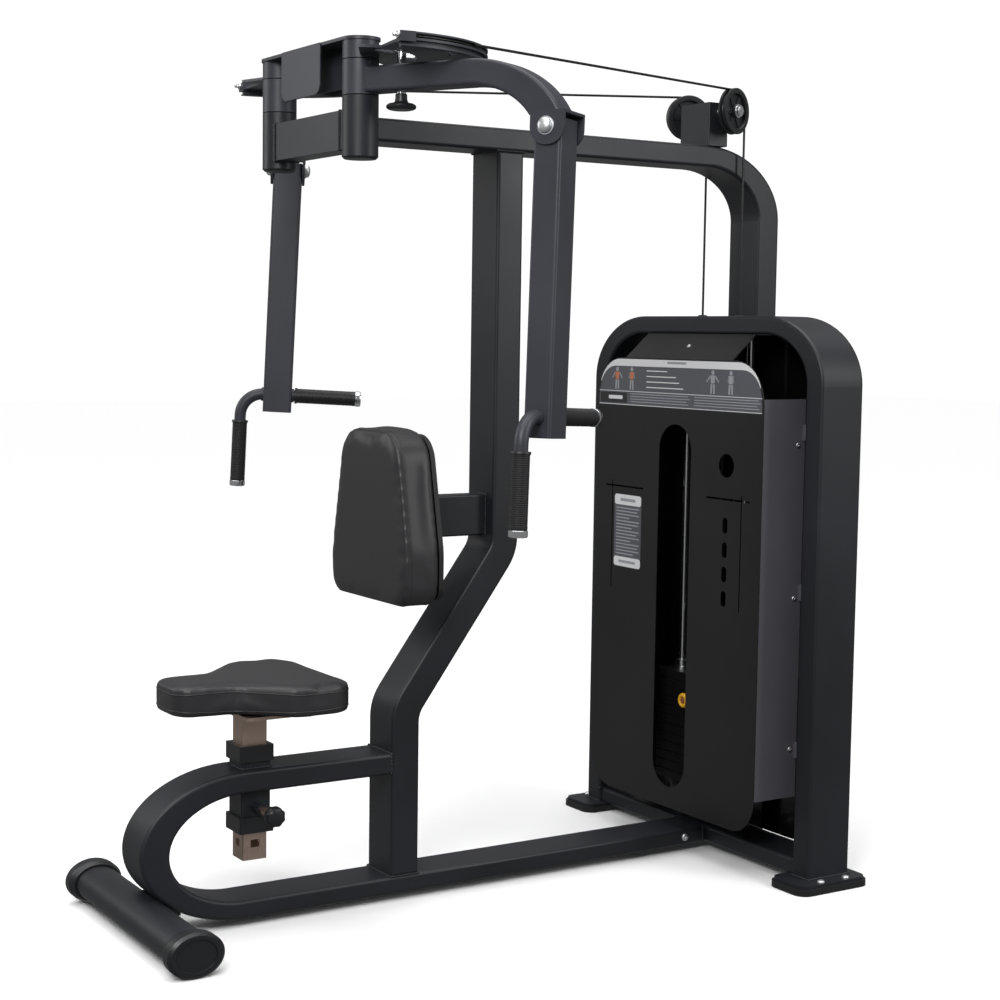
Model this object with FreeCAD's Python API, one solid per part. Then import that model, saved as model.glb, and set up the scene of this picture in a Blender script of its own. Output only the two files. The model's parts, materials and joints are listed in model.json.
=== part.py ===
import FreeCAD, Part
import math
import os

# Chest fly machine with a weight tower. Millimetres, +Z up, floor at Z = 0.
# X runs across the machine and X = 0 is its plane of symmetry ("right" is +X).
# Y runs from the front stabiliser (-Y) to the weight tower (+Y). It is drawn with the
# front face of the tower arch at Y = 0, and saved with the origin on the floor in the
# middle of the machine's outline.

# ---- driving dimensions ------------------------------------------------------
TUBE_WIDTH = 120.0          # main frame tube, across the machine
TUBE_THICK = 42.0           # base tube, floor side
SEAT_RUN_THICK = 50.0       # run of the same tube that carries the seat
WALL = 3.0
TUBE_CORNER = 8.0           # outer corner radius of every frame tube

BASE_BOTTOM = 20.0          # underside of the base tube
LOOP_TOP = 360.0            # top of the run that carries the seat
LOOP_FRONT = -1566.0        # foremost point of the lying U
LOOP_FRONT_THICK = 70.0
LOOP_BEND = 255.0           # level half-axis of its oval front bend

UPRIGHT_THICK = 74.0
UPRIGHT_LOW_Y = -902.0      # centre line below the slant
UPRIGHT_HIGH_Y = -631.0     # centre line above the slant
SLANT_LOW_Z = 460.0
SLANT_HIGH_Z = 833.0
SLANT_BEND = 95.0

OVAL = 0.77                 # height to width of the oval bends up here
BEAM_THICK = 54.0           # top beam and rear column, one bent tube
COLUMN_THICK = BEAM_THICK / OVAL
BEAM_BOTTOM = 1786.0
COLUMN_REAR = 206.0
GOOSENECK_BEND = 204.0

PIVOT_X = 204.0             # the two vertical arm pivots
PIVOT_Y = -1113.0
PIVOT_RADIUS = 40.0
SHAFT_RADIUS = 22.0
FIT = 0.05                  # radial clearance of a running fit
PIVOT_BOTTOM = 1727.0
SLEEVE_BOTTOM = 1864.0
SLEEVE_TOP = 1939.0
HUB_TOP = 1979.5
BRIDGE_TOP = 1987.0

ARM_ANGLE = 27.0            # right arm, degrees from +X towards +Y
ARM_WIDTH = 60.0
ARM_HEIGHT = 55.0
ARM_Z = 1895.0
ARM_BEND_START = 288.0
ARM_BEND = 207.0
ARM_BEND_TURN = 71.5        # degrees, before the bend is flattened to its oval
BAR_RADIUS = 485.0          # pivot to hanging bar
BAR_SHIFT = 8.0             # the bar hangs this far behind the arm's centre line
BAR_LEAN = 2.45             # degrees, its foot leans forward
BAR_DEPTH = 64.0            # along the arm
BAR_BREADTH = 74.0          # across the arm
BAR_TOP = 1790.0
BAR_BOTTOM = 1138.0
BAR_BOLT_Z = 1773.0
BAR_SEAT_Z = 1799.0         # underside of the channel that holds the bar
BOLT_RADIUS = 10.0
EAR = 6.0

HANDLE_TUBE = 15.0          # radius of the bent handle tube
GRIP_RADIUS = 19.0
GRIP_OFFSET = 96.0          # upright grip, from the bar's centre
HANDLE_Z = 1183.0
LEVEL_GRIP_END = 206.0

CAM_RADIUS = 276.0
CABLE_WRAP = 269.0          # radius of the cable in the cam groove
CAM_START = -10.0           # rim, degrees from +X on the right cam
CAM_END = 128.0
CAM_LEFT_TURN = 15.0        # the left cam is indexed this much further back
CAM_BOTTOM = 1934.0
CAM_TOP = 1964.0
CAM_PLATE_Z = 1947.0
CAM_PLATE = 6.0
INDEX_RADIUS = 107.0        # pull pin to pivot
CABLE_RADIUS = 3.0
CABLE_Z = 1956.0            # cable height on the cam

PULLEY_X = 93.9
PULLEY_Y = 16.3
PULLEY_Z = 1926.0
PULLEY_RADIUS = 58.0
PULLEY_WRAP = 53.0
PULLEY_WIDTH = 24.0

ARCH_WIDTH = 950.0
ARCH_TOP = 1407.0
ARCH_TUBE = 60.0
ARCH_DEPTH = 134.0
ARCH_CORNER = 192.0
FOOT_TOP = 24.0
PAD_THICK = 16.0

SHROUD_HALF = 350.0
SHROUD_BOTTOM = 110.0
SHROUD_TOP = 1295.0
SHROUD_Y = -75.0
SHEET = 2.0
SLOT_HALF = 68.0
SLOT_BOTTOM = 165.0
SLOT_TOP = 1125.0

STACK_Y = 65.0
STACK_HALF = 165.0
STACK_DEPTH = 110.0
PLATE_PITCH = 25.0
PLATE_THICK = 24.4
STACK_BOTTOM = 155.0
PARKED_PLATES = 9
LIFTED_PLATES = 3
ROD_X = 128.0
ROD_RADIUS = 10.0
SELECTOR_RADIUS = 12.0
YOKE_Z = 590.0

FRONT_TUBE_RADIUS = 40.0
FRONT_TUBE_HALF = 280.0
FRONT_TUBE_Y = -1543.0
FRONT_TUBE_OVAL = 1.3       # width to height of the stabiliser and its caps
CAP_RADIUS = 50.0
CAP_END = 322.0

SEAT_Y = -1279.0
POST_SIZE = 60.0
POST_BOTTOM = 146.0
SEAT_BOTTOM = 496.0
SEAT_TOP = 567.0
RECEIVER_SIZE = 72.0
RECEIVER_BOTTOM = 248.0
RECEIVER_TOP = 376.0
BUSH_SIZE = 84.0
BUSH_HEIGHT = 37.0
SEAT_PIN_Z = 270.0

BACK_FRONT = -981.0
BACK_REAR = -885.0
BACK_BOTTOM = 720.0
BACK_TOP = 1130.0

# from the arch's front face to the middle of the outline, front cap to rear column
ORIGIN_SHIFT = (CAP_RADIUS * FRONT_TUBE_OVAL - FRONT_TUBE_Y - COLUMN_REAR) / 2

V = FreeCAD.Vector
os.makedirs("parts", exist_ok=True)


# ---- helpers -----------------------------------------------------------------
def save(name, shape):
    shape = shape.copy()
    shape.translate(V(0, ORIGIN_SHIFT, 0))
    if not shape.isValid():
        shape = shape.copy()
        shape.fix(0.01, 0.01, 0.01)
    shape.exportStep("parts/" + name + ".step")
    print(name, "solids", len(shape.Solids), "volume", round(shape.Volume), "valid", shape.isValid())


def box(x0, x1, y0, y1, z0, z1):
    return Part.makeBox(x1 - x0, y1 - y0, z1 - z0, V(x0, y0, z0))


def rod(start, end, radius):
    axis = V(*end) - V(*start)
    return Part.makeCylinder(radius, axis.Length, V(*start), axis)


def ring(x, y, z0, z1, outer, inner):
    body = rod((x, y, z0), (x, y, z1), outer)
    return body.cut(rod((x, y, z0 - 1), (x, y, z1 + 1), inner))


def mirrored(shape):
    return shape.mirror(V(0, 0, 0), V(1, 0, 0))


def spun(shape, degrees, x, y):
    turned = shape.copy()
    turned.rotate(V(x, y, 0), V(0, 0, 1), degrees)
    return turned


def bend_edges(points, bends, offset):
    """Lines and tangent arcs along a 2-D route, moved sideways by offset."""
    edges = []
    here = None
    count = len(points)
    for i in range(count - 1):
        a = V(points[i][0], points[i][1], 0)
        b = V(points[i + 1][0], points[i + 1][1], 0)
        d = (b - a).normalize()
        left = V(-d.y, d.x, 0)
        if here is None:
            here = a + left * offset
        if i == count - 2:
            end = b + left * offset
            edges.append((here, None, end))
            break
        c = V(points[i + 2][0], points[i + 2][1], 0)
        e = (c - b).normalize()
        turn = math.atan2(d.x * e.y - d.y * e.x, d.dot(e))
        side = 1.0 if turn > 0 else -1.0
        radius = bends[i]
        tangent = radius * math.tan(abs(turn) / 2)
        centre = b - d * tangent + left * (side * radius)
        start = b - d * tangent + left * offset
        left_out = V(-e.y, e.x, 0)
        stop = b + e * tangent + left_out * offset
        middle = centre + (b - centre).normalize() * (radius - side * offset)
        if (start - here).Length > 0.01:
            edges.append((here, None, start))
        edges.append((start, middle, stop))
        here = stop
    return edges


def outline_wire(points, bends, half, place):
    """Closed outline of a bent bar of thickness 2 x half, set into space by place."""
    near = bend_edges(points, bends, half)
    far = bend_edges(points, bends, -half)
    parts = []
    for start, middle, stop in near:
        parts.append((start, middle, stop))
    parts.append((near[-1][2], None, far[-1][2]))
    for start, middle, stop in reversed(far):
        parts.append((stop, middle, start))
    parts.append((far[0][0], None, near[0][0]))
    edges = []
    for start, middle, stop in parts:
        if (start - stop).Length < 0.01:
            continue
        if middle is None:
            edges.append(Part.LineSegment(place(start), place(stop)).toShape())
        else:
            edges.append(arc_edge(start, middle, stop, place))
    return Part.Wire(Part.__sortEdges__(edges))


def in_yz(x, oval=1.0):
    return lambda p: V(x, p.x, p.y * oval)


def in_xz(y, oval=1.0):
    return lambda p: V(p.x, y, p.y * oval)


def arc_edge(start, middle, stop, place):
    """Circular arc, or the oval one that a flattening place makes of it."""
    flat = (place(V(0, 1, 0)) - place(V(0, 0, 0))).Length
    if abs(flat - 1.0) < 1e-6:
        return Part.Arc(place(start), place(middle), place(stop)).toShape()
    circle = Part.Circle(start, middle, stop)
    centre = circle.Center
    angles = [math.atan2(p.y - centre.y, p.x - centre.x) for p in (start, middle, stop)]
    first, half, last = angles
    if first > last:
        first, last = last, first
    if not first < half < last:
        first, last = last, first + 2 * math.pi
    ellipse = Part.Ellipse(V(0, 0, 0), circle.Radius, circle.Radius * flat)
    across = place(centre + V(1, 0, 0)) - place(centre)
    out = across.cross(V(0, 0, 1))
    turned = FreeCAD.Matrix(across.x, 0, out.x, 0, across.y, 0, out.y, 0, across.z, 1, out.z, 0, 0, 0, 0, 1)
    arc = Part.ArcOfEllipse(ellipse, first, last).toShape().transformed(turned)
    arc.translate(place(centre))
    return arc


def rounded_long_edges(solid, axis, low, high, radius):
    """Round the edges that lie in the two side planes of an extruded bent tube."""
    picked = []
    for edge in solid.Edges:
        box_ = edge.BoundBox
        lo, hi = (box_.XMin, box_.XMax) if axis == "x" else (box_.YMin, box_.YMax)
        flat = abs(hi - lo) < 0.01
        if flat and (abs(lo - low) < 0.01 or abs(lo - high) < 0.01) and edge.Length > 70:
            picked.append(edge)
    return solid.makeFillet(radius, picked)


def bent_tube(points, bends, thick, width, plane, start, hollow_trim, oval=1.0):
    """Rectangular tube bent in one plane: an outer extrusion less its bore.

    With oval below 1 the route is drawn round and then flattened, so that a level run is
    that much thinner than an upright one.
    """
    place = in_yz if plane == "x" else in_xz
    way = V(1, 0, 0) if plane == "x" else V(0, 1, 0)
    points = [(u, w / oval) for u, w in points]
    outer = Part.Face(outline_wire(points, bends, thick / 2, place(start, oval))).extrude(way * width)
    outer = rounded_long_edges(outer, plane, start, start + width, TUBE_CORNER)
    short = [list(p) for p in points]
    for end, nxt in ((0, 1), (-1, -2)):
        d = V(points[nxt][0] - points[end][0], points[nxt][1] - points[end][1], 0).normalize()
        short[end] = [points[end][0] + d.x * hollow_trim, points[end][1] + d.y * hollow_trim]
    wire = outline_wire(short, bends, thick / 2 - WALL, place(start + WALL, oval))
    bore = Part.Face(wire).extrude(way * (width - 2 * WALL))
    return outer.cut(bore)


def rounded_plate(points, radii, place, way):
    """Extruded plate whose outline is a polygon with an arc at each corner."""
    count = len(points)
    edges = []
    first = None
    here = None
    for i in range(count):
        a = V(points[i - 1][0], points[i - 1][1], 0)
        b = V(points[i][0], points[i][1], 0)
        c = V(points[(i + 1) % count][0], points[(i + 1) % count][1], 0)
        d = (b - a).normalize()
        e = (c - b).normalize()
        turn = math.atan2(d.x * e.y - d.y * e.x, d.dot(e))
        side = 1.0 if turn > 0 else -1.0
        radius = radii[i]
        tangent = radius * math.tan(abs(turn) / 2)
        start = b - d * tangent
        stop = b + e * tangent
        if here is not None and (start - here).Length > 0.01:
            edges.append(Part.LineSegment(place(here), place(start)).toShape())
        if radius > 0.01:
            centre = start + V(-d.y, d.x, 0) * (side * radius)
            middle = centre + (b - centre).normalize() * radius
            edges.append(Part.Arc(place(start), place(middle), place(stop)).toShape())
        if first is None:
            first = start
        here = stop
    if (first - here).Length > 0.01:
        edges.append(Part.LineSegment(place(here), place(first)).toShape())
    return Part.Face(Part.Wire(edges)).extrude(way)


def flat_plate(x0, x1, y0, y1, z0, z1, radius):
    corners = [(x0, y0), (x1, y0), (x1, y1), (x0, y1)]
    return rounded_plate(corners, [radius] * 4, lambda p: V(p.x, p.y, z0), V(0, 0, z1 - z0))


def front_slot(x0, x1, z0, z1, radius):
    corners = [(x0, z0), (x1, z0), (x1, z1), (x0, z1)]
    return rounded_plate(corners, [radius] * 4, in_xz(SHROUD_Y - 1), V(0, SHEET + 2, 0))


def sector(radius, a0, a1, z0, z1, inner=0.0):
    """Part of a disc (or of a ring) about the right pivot between two angles."""
    height = z1 - z0
    body = Part.makeCylinder(radius, height, V(PIVOT_X, PIVOT_Y, z0), V(0, 0, 1), a1 - a0)
    if inner > 0:
        hole = Part.makeCylinder(inner, height + 2, V(PIVOT_X, PIVOT_Y, z0 - 1), V(0, 0, 1))
        body = body.cut(hole)
    return spun(body, a0, PIVOT_X, PIVOT_Y)


def swept(edges, radius):
    wire = Part.Wire(edges)
    first = edges[0]
    start = first.valueAt(first.FirstParameter)
    circle = Part.Circle(start, first.tangentAt(first.FirstParameter), radius)
    profile = Part.Wire([circle.toShape()])
    return wire.makePipeShell([profile], True, False, 2)


# ---- base, upright, top beam ---------------------------------------------------
def loop_outline(front, rear_top, rear_low, low, high, bend, x):
    """Closed outline of the lying U between two heights, with its oval front bend."""
    middle = (low + high) / 2
    centre = front + bend
    ellipse = Part.Ellipse(V(0, 0, 0), bend, (high - low) / 2)
    turned = FreeCAD.Matrix(0, 0, 1, x, 1, 0, 0, centre, 0, 1, 0, middle, 0, 0, 0, 1)
    nose = Part.ArcOfEllipse(ellipse, math.pi / 2, math.pi * 3 / 2).toShape().transformed(turned)
    return nose, [V(x, centre, high), V(x, rear_top, high)], [V(x, centre, low), V(x, rear_low, low)]


def loop_solid(inset, x0, x1):
    """The U as one solid; inset shrinks it on every side to give the bore."""
    low = BASE_BOTTOM
    rear_top = UPRIGHT_LOW_Y - UPRIGHT_THICK / 2 - inset
    rear_low = 8.0 - inset
    outer, top, bottom = loop_outline(LOOP_FRONT + inset, rear_top, rear_low, low + inset,
                                      LOOP_TOP - inset, LOOP_BEND - inset, x0)
    inner_low = low + TUBE_THICK - inset
    inner_high = LOOP_TOP - SEAT_RUN_THICK + inset
    inner, inner_top, inner_bottom = loop_outline(
        LOOP_FRONT + LOOP_FRONT_THICK - inset, rear_top, rear_low, inner_low, inner_high,
        LOOP_BEND - LOOP_FRONT_THICK + inset, x0)
    lines = [top, bottom, inner_top, inner_bottom, [top[1], inner_top[1]], [bottom[1], inner_bottom[1]]]
    edges = [outer, inner] + [Part.LineSegment(p, q).toShape() for p, q in lines]
    return Part.Face(Part.Wire(Part.__sortEdges__(edges))).extrude(V(x1 - x0, 0, 0))


def make_loop_frame():
    half = TUBE_WIDTH / 2
    tube = loop_solid(0.0, -half, half)
    tube = rounded_long_edges(tube, "x", -half, half, TUBE_CORNER)
    tube = tube.cut(loop_solid(WALL, WALL - half, half - WALL))
    hole = RECEIVER_SIZE / 2
    return tube.cut(box(-hole, hole, SEAT_Y - hole, SEAT_Y + hole, 200, 500))


def make_upright():
    foot = BASE_BOTTOM + TUBE_THICK
    route = [(UPRIGHT_LOW_Y, foot), (UPRIGHT_LOW_Y, SLANT_LOW_Z),
             (UPRIGHT_HIGH_Y, SLANT_HIGH_Z), (UPRIGHT_HIGH_Y, BEAM_BOTTOM)]
    bends = [SLANT_BEND, SLANT_BEND]
    return bent_tube(route, bends, UPRIGHT_THICK, TUBE_WIDTH, "x", -TUBE_WIDTH / 2, WALL)


def make_top_beam():
    z = BEAM_BOTTOM + BEAM_THICK / 2
    column = COLUMN_REAR - COLUMN_THICK / 2
    route = [(PIVOT_Y + 30, z), (column, z), (column, BASE_BOTTOM + TUBE_THICK)]
    return bent_tube(route, [GOOSENECK_BEND], COLUMN_THICK, TUBE_WIDTH, "x", -TUBE_WIDTH / 2, WALL, OVAL)


def widened(shape):
    """Stretch a shape drawn round the stabiliser's axis to its oval section."""
    k = FRONT_TUBE_OVAL
    stretch = FreeCAD.Matrix(1, 0, 0, 0, 0, k, 0, FRONT_TUBE_Y * (1 - k), 0, 0, 1, 0, 0, 0, 0, 1)
    return shape.transformGeometry(stretch)


def make_front_tube():
    """Stabiliser with the saddle that carries the front of the U."""
    z = CAP_RADIUS
    end = FRONT_TUBE_HALF
    tube = widened(rod((-end, FRONT_TUBE_Y, z), (end, FRONT_TUBE_Y, z), FRONT_TUBE_RADIUS))
    bore = widened(rod((3 - end, FRONT_TUBE_Y, z), (end - 3, FRONT_TUBE_Y, z), FRONT_TUBE_RADIUS - WALL))
    saddle = box(-50, 50, FRONT_TUBE_Y, FRONT_TUBE_Y + 75, z, z + 40)
    saddle = saddle.cut(loop_solid(0.0, -60, 60)).cut(bore)
    saddle = max(saddle.Solids, key=lambda part: part.Volume)
    return tube.fuse(saddle).cut(bore).removeSplitter()


def make_front_cap(side):
    """Flared plastic end cap: a wide rim with a shallow dish in its face."""
    z = CAP_RADIUS
    inner = FRONT_TUBE_HALF - 6
    profile = [(inner, FRONT_TUBE_RADIUS + 0.2), (inner, FRONT_TUBE_RADIUS + 4),
               (inner + 14, CAP_RADIUS - 1), (inner + 18, CAP_RADIUS), (CAP_END - 6, CAP_RADIUS),
               (CAP_END, CAP_RADIUS - 6), (CAP_END, CAP_RADIUS - 14), (CAP_END - 3, CAP_RADIUS - 15),
               (CAP_END - 3, 0), (FRONT_TUBE_HALF + 0.2, 0), (FRONT_TUBE_HALF + 0.2, FRONT_TUBE_RADIUS + 0.2)]
    points = [V(x, FRONT_TUBE_Y, z + r) for x, r in profile]
    face = Part.Face(Part.makePolygon(points + [points[0]]))
    cap = widened(face.revolve(V(0, FRONT_TUBE_Y, z), V(1, 0, 0), 360))
    return cap if side > 0 else mirrored(cap)


def make_cross_beam():
    low = BASE_BOTTOM
    high = BASE_BOTTOM + TUBE_THICK
    reach = ARCH_WIDTH / 2 - ARCH_TUBE
    beam = box(-reach, reach, 8, 8 + TUBE_WIDTH, low, high)
    beam = beam.makeFillet(TUBE_CORNER, [e for e in beam.Edges if e.Length > 700])
    for x0, x1 in ((-reach - 1, -reach + 30), (reach - 30, reach + 1)):
        beam = beam.cut(box(x0, x1, 0, 140, low - 1, FOOT_TOP))
    stub = box(-60, 60, 8 + TUBE_WIDTH, COLUMN_REAR, low, high)
    return beam.fuse(stub).removeSplitter()


# ---- weight tower --------------------------------------------------------------
def make_arch():
    x = ARCH_WIDTH / 2 - ARCH_TUBE / 2
    z = ARCH_TOP - ARCH_TUBE * OVAL / 2
    route = [(-x, FOOT_TOP), (-x, z), (x, z), (x, FOOT_TOP)]
    arch = bent_tube(route, [ARCH_CORNER, ARCH_CORNER], ARCH_TUBE, ARCH_DEPTH, "y", 0.0, WALL, OVAL)
    drop_x, drop_y = cable_drop_place()
    for x in (-drop_x, drop_x):
        arch = arch.cut(rod((x, drop_y, ARCH_TOP - ARCH_TUBE - 1), (x, drop_y, ARCH_TOP + 1), 9))
    return arch


def make_foot(side, low, high, grow, radius):
    foot = flat_plate(394 - grow, 515 + grow, -52 - grow, 161 + grow, low, high, radius)
    return foot if side > 0 else mirrored(foot)


def make_shroud():
    """Sheet front with a selector slot, line slots and a top flange bent back to the arch."""
    half = SHROUD_HALF
    corners = [(-half, SHROUD_BOTTOM), (half, SHROUD_BOTTOM), (half, SHROUD_TOP), (-half, SHROUD_TOP)]
    sheet = rounded_plate(corners, [90, 90, 110, 110], in_xz(SHROUD_Y), V(0, SHEET, 0))
    sheet = sheet.cut(front_slot(-SLOT_HALF, SLOT_HALF, SLOT_BOTTOM, SLOT_TOP, SLOT_HALF - 0.5))
    for side in (-1, 1):
        lo, hi = sorted((side * 135, side * 305))
        sheet = sheet.cut(box(lo, hi, SHROUD_Y - 1, SHROUD_Y + 3, 944, 949))
        lo, hi = sorted((side * 272, side * 276))
        sheet = sheet.cut(box(lo, hi, SHROUD_Y - 1, SHROUD_Y + 3, 667, 960))
    for step in range(4):
        z = 880 - 62 * step
        sheet = sheet.cut(front_slot(202, 222, z - 20, z + 20, 9.5))
    sheet = sheet.cut(rod((212, SHROUD_Y - 1, 1031), (212, SHROUD_Y + 3, 1031), 30))
    top = ARCH_TOP - ARCH_TUBE * OVAL
    flange = [(SHROUD_Y, SHROUD_TOP), (SHROUD_Y + SHEET, SHROUD_TOP - 2), (0, top - 2.5), (0, top)]
    wire = Part.makePolygon([V(-225, y, z) for y, z in flange + [flange[0]]])
    return sheet.fuse(Part.Face(wire).extrude(V(450, 0, 0)))


def make_side_panel(side):
    """Side sheet between the front sheet and the arch, folded inwards at its rear."""
    x = SHROUD_HALF - 2
    y0 = SHROUD_Y + SHEET
    panel = box(x - 2, x, y0, 62, 200, 1202)
    fold = box(x - 22, x - 2, 60, 62, 200, 1202)
    panel = panel.fuse(fold)
    for z in (300, 700, 1100):
        panel = panel.fuse(box(x, ARCH_WIDTH / 2 - ARCH_TUBE, 54, 60, z, z + 40))
    panel = panel.removeSplitter()
    return panel if side > 0 else mirrored(panel)


def make_rear_panel():
    half = ARCH_WIDTH / 2 - ARCH_TUBE
    low = BASE_BOTTOM + TUBE_THICK + 2
    high = ARCH_TOP - ARCH_TUBE * OVAL - 1
    corners = [(-half, low), (half, low), (half, high), (-half, high)]
    return rounded_plate(corners, [150, 150, 155, 155], in_xz(121), V(0, SHEET, 0))


def stack_plate(z):
    """One weight plate: chamfered slab with guide holes and the centre hole."""
    y0 = STACK_Y - STACK_DEPTH / 2
    slab = box(-STACK_HALF, STACK_HALF, y0, y0 + STACK_DEPTH, z, z + PLATE_THICK)
    slab = slab.makeChamfer(2.0, [e for e in slab.Edges if e.Length > 40])
    for x, radius in ((-ROD_X, ROD_RADIUS + 2), (ROD_X, ROD_RADIUS + 2), (0, SELECTOR_RADIUS + 3)):
        slab = slab.cut(rod((x, STACK_Y, z - 1), (x, STACK_Y, z + PLATE_THICK + 1), radius))
    pin_z = z + PLATE_THICK / 2
    return slab.cut(rod((0, y0 - 1, pin_z), (0, STACK_Y, pin_z), 6.5))


def plates(first, count):
    solids = [stack_plate(STACK_BOTTOM + PLATE_PITCH * (first + i)) for i in range(count)]
    return Part.makeCompound(solids)


def make_guide_rods():
    top = ARCH_TOP - ARCH_TUBE * OVAL
    low = BASE_BOTTOM + TUBE_THICK
    return Part.makeCompound([rod((x, STACK_Y, low), (x, STACK_Y, top), ROD_RADIUS) for x in (-ROD_X, ROD_X)])


def make_stack_feet():
    low = BASE_BOTTOM + TUBE_THICK
    feet = [ring(x, STACK_Y, low, STACK_BOTTOM, 26, ROD_RADIUS + FIT) for x in (-ROD_X, ROD_X)]
    return Part.makeCompound(feet)


def make_selector():
    """Selector rod under the lifting yoke that both cables pull on."""
    low = STACK_BOTTOM + 4
    top_hole = STACK_BOTTOM + PLATE_PITCH * (PARKED_PLATES + LIFTED_PLATES)
    body = rod((0, STACK_Y, low), (0, STACK_Y, YOKE_Z), SELECTOR_RADIUS)
    body = body.fuse(rod((0, STACK_Y, top_hole), (0, STACK_Y, top_hole + 14), 24))
    drop_x, drop_y = cable_drop_place()
    yoke = flat_plate(-drop_x - 16, drop_x + 16, drop_y - 13, drop_y + 13, YOKE_Z, YOKE_Z + 20, 12)
    pin_z = selector_pin_z()
    hole = rod((0, STACK_Y - 20, pin_z), (0, STACK_Y + 20, pin_z), 5.6)
    return body.fuse(yoke).cut(hole).removeSplitter()


def selector_pin_z():
    return STACK_BOTTOM + PLATE_PITCH * PARKED_PLATES + PLATE_THICK / 2


def make_selector_pin():
    z = selector_pin_z()
    front = STACK_Y - STACK_DEPTH / 2
    pin = rod((0, front - 30, z), (0, STACK_Y + 14, z), 5.5)
    knob = rod((0, front - 44, z), (0, front - 22, z), 15)
    knob = knob.makeFillet(3, knob.Edges[0:1])
    return pin.fuse(knob).removeSplitter()


# ---- pivot head ----------------------------------------------------------------
def make_head_beam():
    beam = box(-176, 176, PIVOT_Y - 30, PIVOT_Y + 30, 1749, 1834)
    for x in (-PIVOT_X, PIVOT_X):
        beam = beam.cut(rod((x, PIVOT_Y, 1700), (x, PIVOT_Y, 1900), PIVOT_RADIUS))
    bore = box(-150, 150, PIVOT_Y - 27, PIVOT_Y + 27, 1752, 1831)
    return beam.cut(bore)


def make_pivot(side):
    """Fixed lower tube with the shaft that the sleeve and the cam turn on."""
    x = PIVOT_X
    tube = rod((x, PIVOT_Y, PIVOT_BOTTOM), (x, PIVOT_Y, SLEEVE_BOTTOM - 2), PIVOT_RADIUS)
    low_edges = [e for e in tube.Edges if abs(e.BoundBox.ZMax - PIVOT_BOTTOM) < 0.01]
    tube = tube.makeChamfer(5, low_edges)
    shaft = rod((x, PIVOT_Y, SLEEVE_BOTTOM - 10), (x, PIVOT_Y, HUB_TOP + 0.5), SHAFT_RADIUS)
    pivot = tube.fuse(shaft).removeSplitter()
    return pivot if side > 0 else mirrored(pivot)


def make_bridge():
    """Top plate over both pivots with the web plate that hangs between them."""
    low = HUB_TOP + 0.5
    plate = box(-PIVOT_X, PIVOT_X, PIVOT_Y - 43, PIVOT_Y + 43, low, BRIDGE_TOP)
    for x in (-PIVOT_X, PIVOT_X):
        plate = plate.fuse(rod((x, PIVOT_Y, low), (x, PIVOT_Y, BRIDGE_TOP), 43))
    web = box(-158, 158, PIVOT_Y + 8, PIVOT_Y + 12, 1890, low)
    web = web.cut(rod((112, PIVOT_Y, 1958), (112, PIVOT_Y + 20, 1958), 7))
    return plate.fuse(web).removeSplitter()


def make_head_cover():
    corners = [(-98, 1876), (98, 1876), (98, BRIDGE_TOP), (-98, BRIDGE_TOP)]
    y = PIVOT_Y - 46
    return rounded_plate(corners, [24, 24, 3, 3], in_xz(y), V(0, 3, 0))


# ---- arms, bars, handles (right side; the left is mirrored) ----------------------
def to_arm(shape):
    """Set a shape drawn with X along the arm, from the pivot, into the machine."""
    placed = shape.copy()
    placed.rotate(V(0, 0, 0), V(0, 0, 1), ARM_ANGLE)
    placed.translate(V(PIVOT_X, PIVOT_Y, 0))
    return placed


def leaned(shape):
    """Tilt the hinge and all that hangs from it, about the bolt, foot forward."""
    tilted = shape.copy()
    tilted.rotate(V(BAR_RADIUS, BAR_SHIFT, BAR_BOLT_Z), V(1, 0, 0), -BAR_LEAN)
    return tilted


def across_bar(y0, y1, z, radius):
    """Round bar through the hanging bar, its ends given from the bar's centre."""
    return rod((BAR_RADIUS, BAR_SHIFT + y0, z), (BAR_RADIUS, BAR_SHIFT + y1, z), radius)


def make_channel():
    """Lid and two ears, an upside-down channel over the top of the bar."""
    half = BAR_BREADTH / 2 + 1
    x0, x1 = BAR_RADIUS - 38, BAR_RADIUS + 42
    y = BAR_SHIFT
    channel = box(x0, x1, y - half - EAR, y + half + EAR, BAR_SEAT_Z, BAR_SEAT_Z + EAR)
    for y0 in (y - half - EAR, y + half):
        corners = [(x0, BAR_BOLT_Z - 38), (x1, BAR_BOLT_Z - 38), (x1, BAR_SEAT_Z), (x0, BAR_SEAT_Z)]
        channel = channel.fuse(rounded_plate(corners, [37, 37, 0, 0], in_xz(y0), V(0, EAR, 0)))
    return leaned(channel.cut(across_bar(-60, 60, BAR_BOLT_Z, BOLT_RADIUS)))


def make_arm():
    """Sleeve, tube that curves down and the channel that holds the bar."""
    half = ARM_WIDTH / 2
    turn = math.radians(ARM_BEND_TURN)
    corner = (ARM_BEND_START + ARM_BEND * math.tan(turn / 2), ARM_Z)
    past = (corner[0] + 260 * math.cos(turn), ARM_Z - 260 * math.sin(turn) * OVAL)
    tube = bent_tube([(30, ARM_Z), corner, past], [ARM_BEND], ARM_HEIGHT / OVAL, ARM_WIDTH, "y", -half,
                     14, OVAL)
    tube = tube.cut(box(380, 800, -half - 5, half + 5, 1400, BAR_SEAT_Z))
    arm = tube.fuse(make_channel())
    arm = arm.fuse(rod((0, 0, SLEEVE_BOTTOM), (0, 0, SLEEVE_TOP), PIVOT_RADIUS))
    arm = arm.cut(rod((0, 0, 1800), (0, 0, 2000), SHAFT_RADIUS + FIT))
    pin_hole = rod((INDEX_RADIUS, 0, 1840), (INDEX_RADIUS, 0, 1960), BOLT_RADIUS + FIT)
    return to_arm(arm.cut(pin_hole).removeSplitter())


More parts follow.
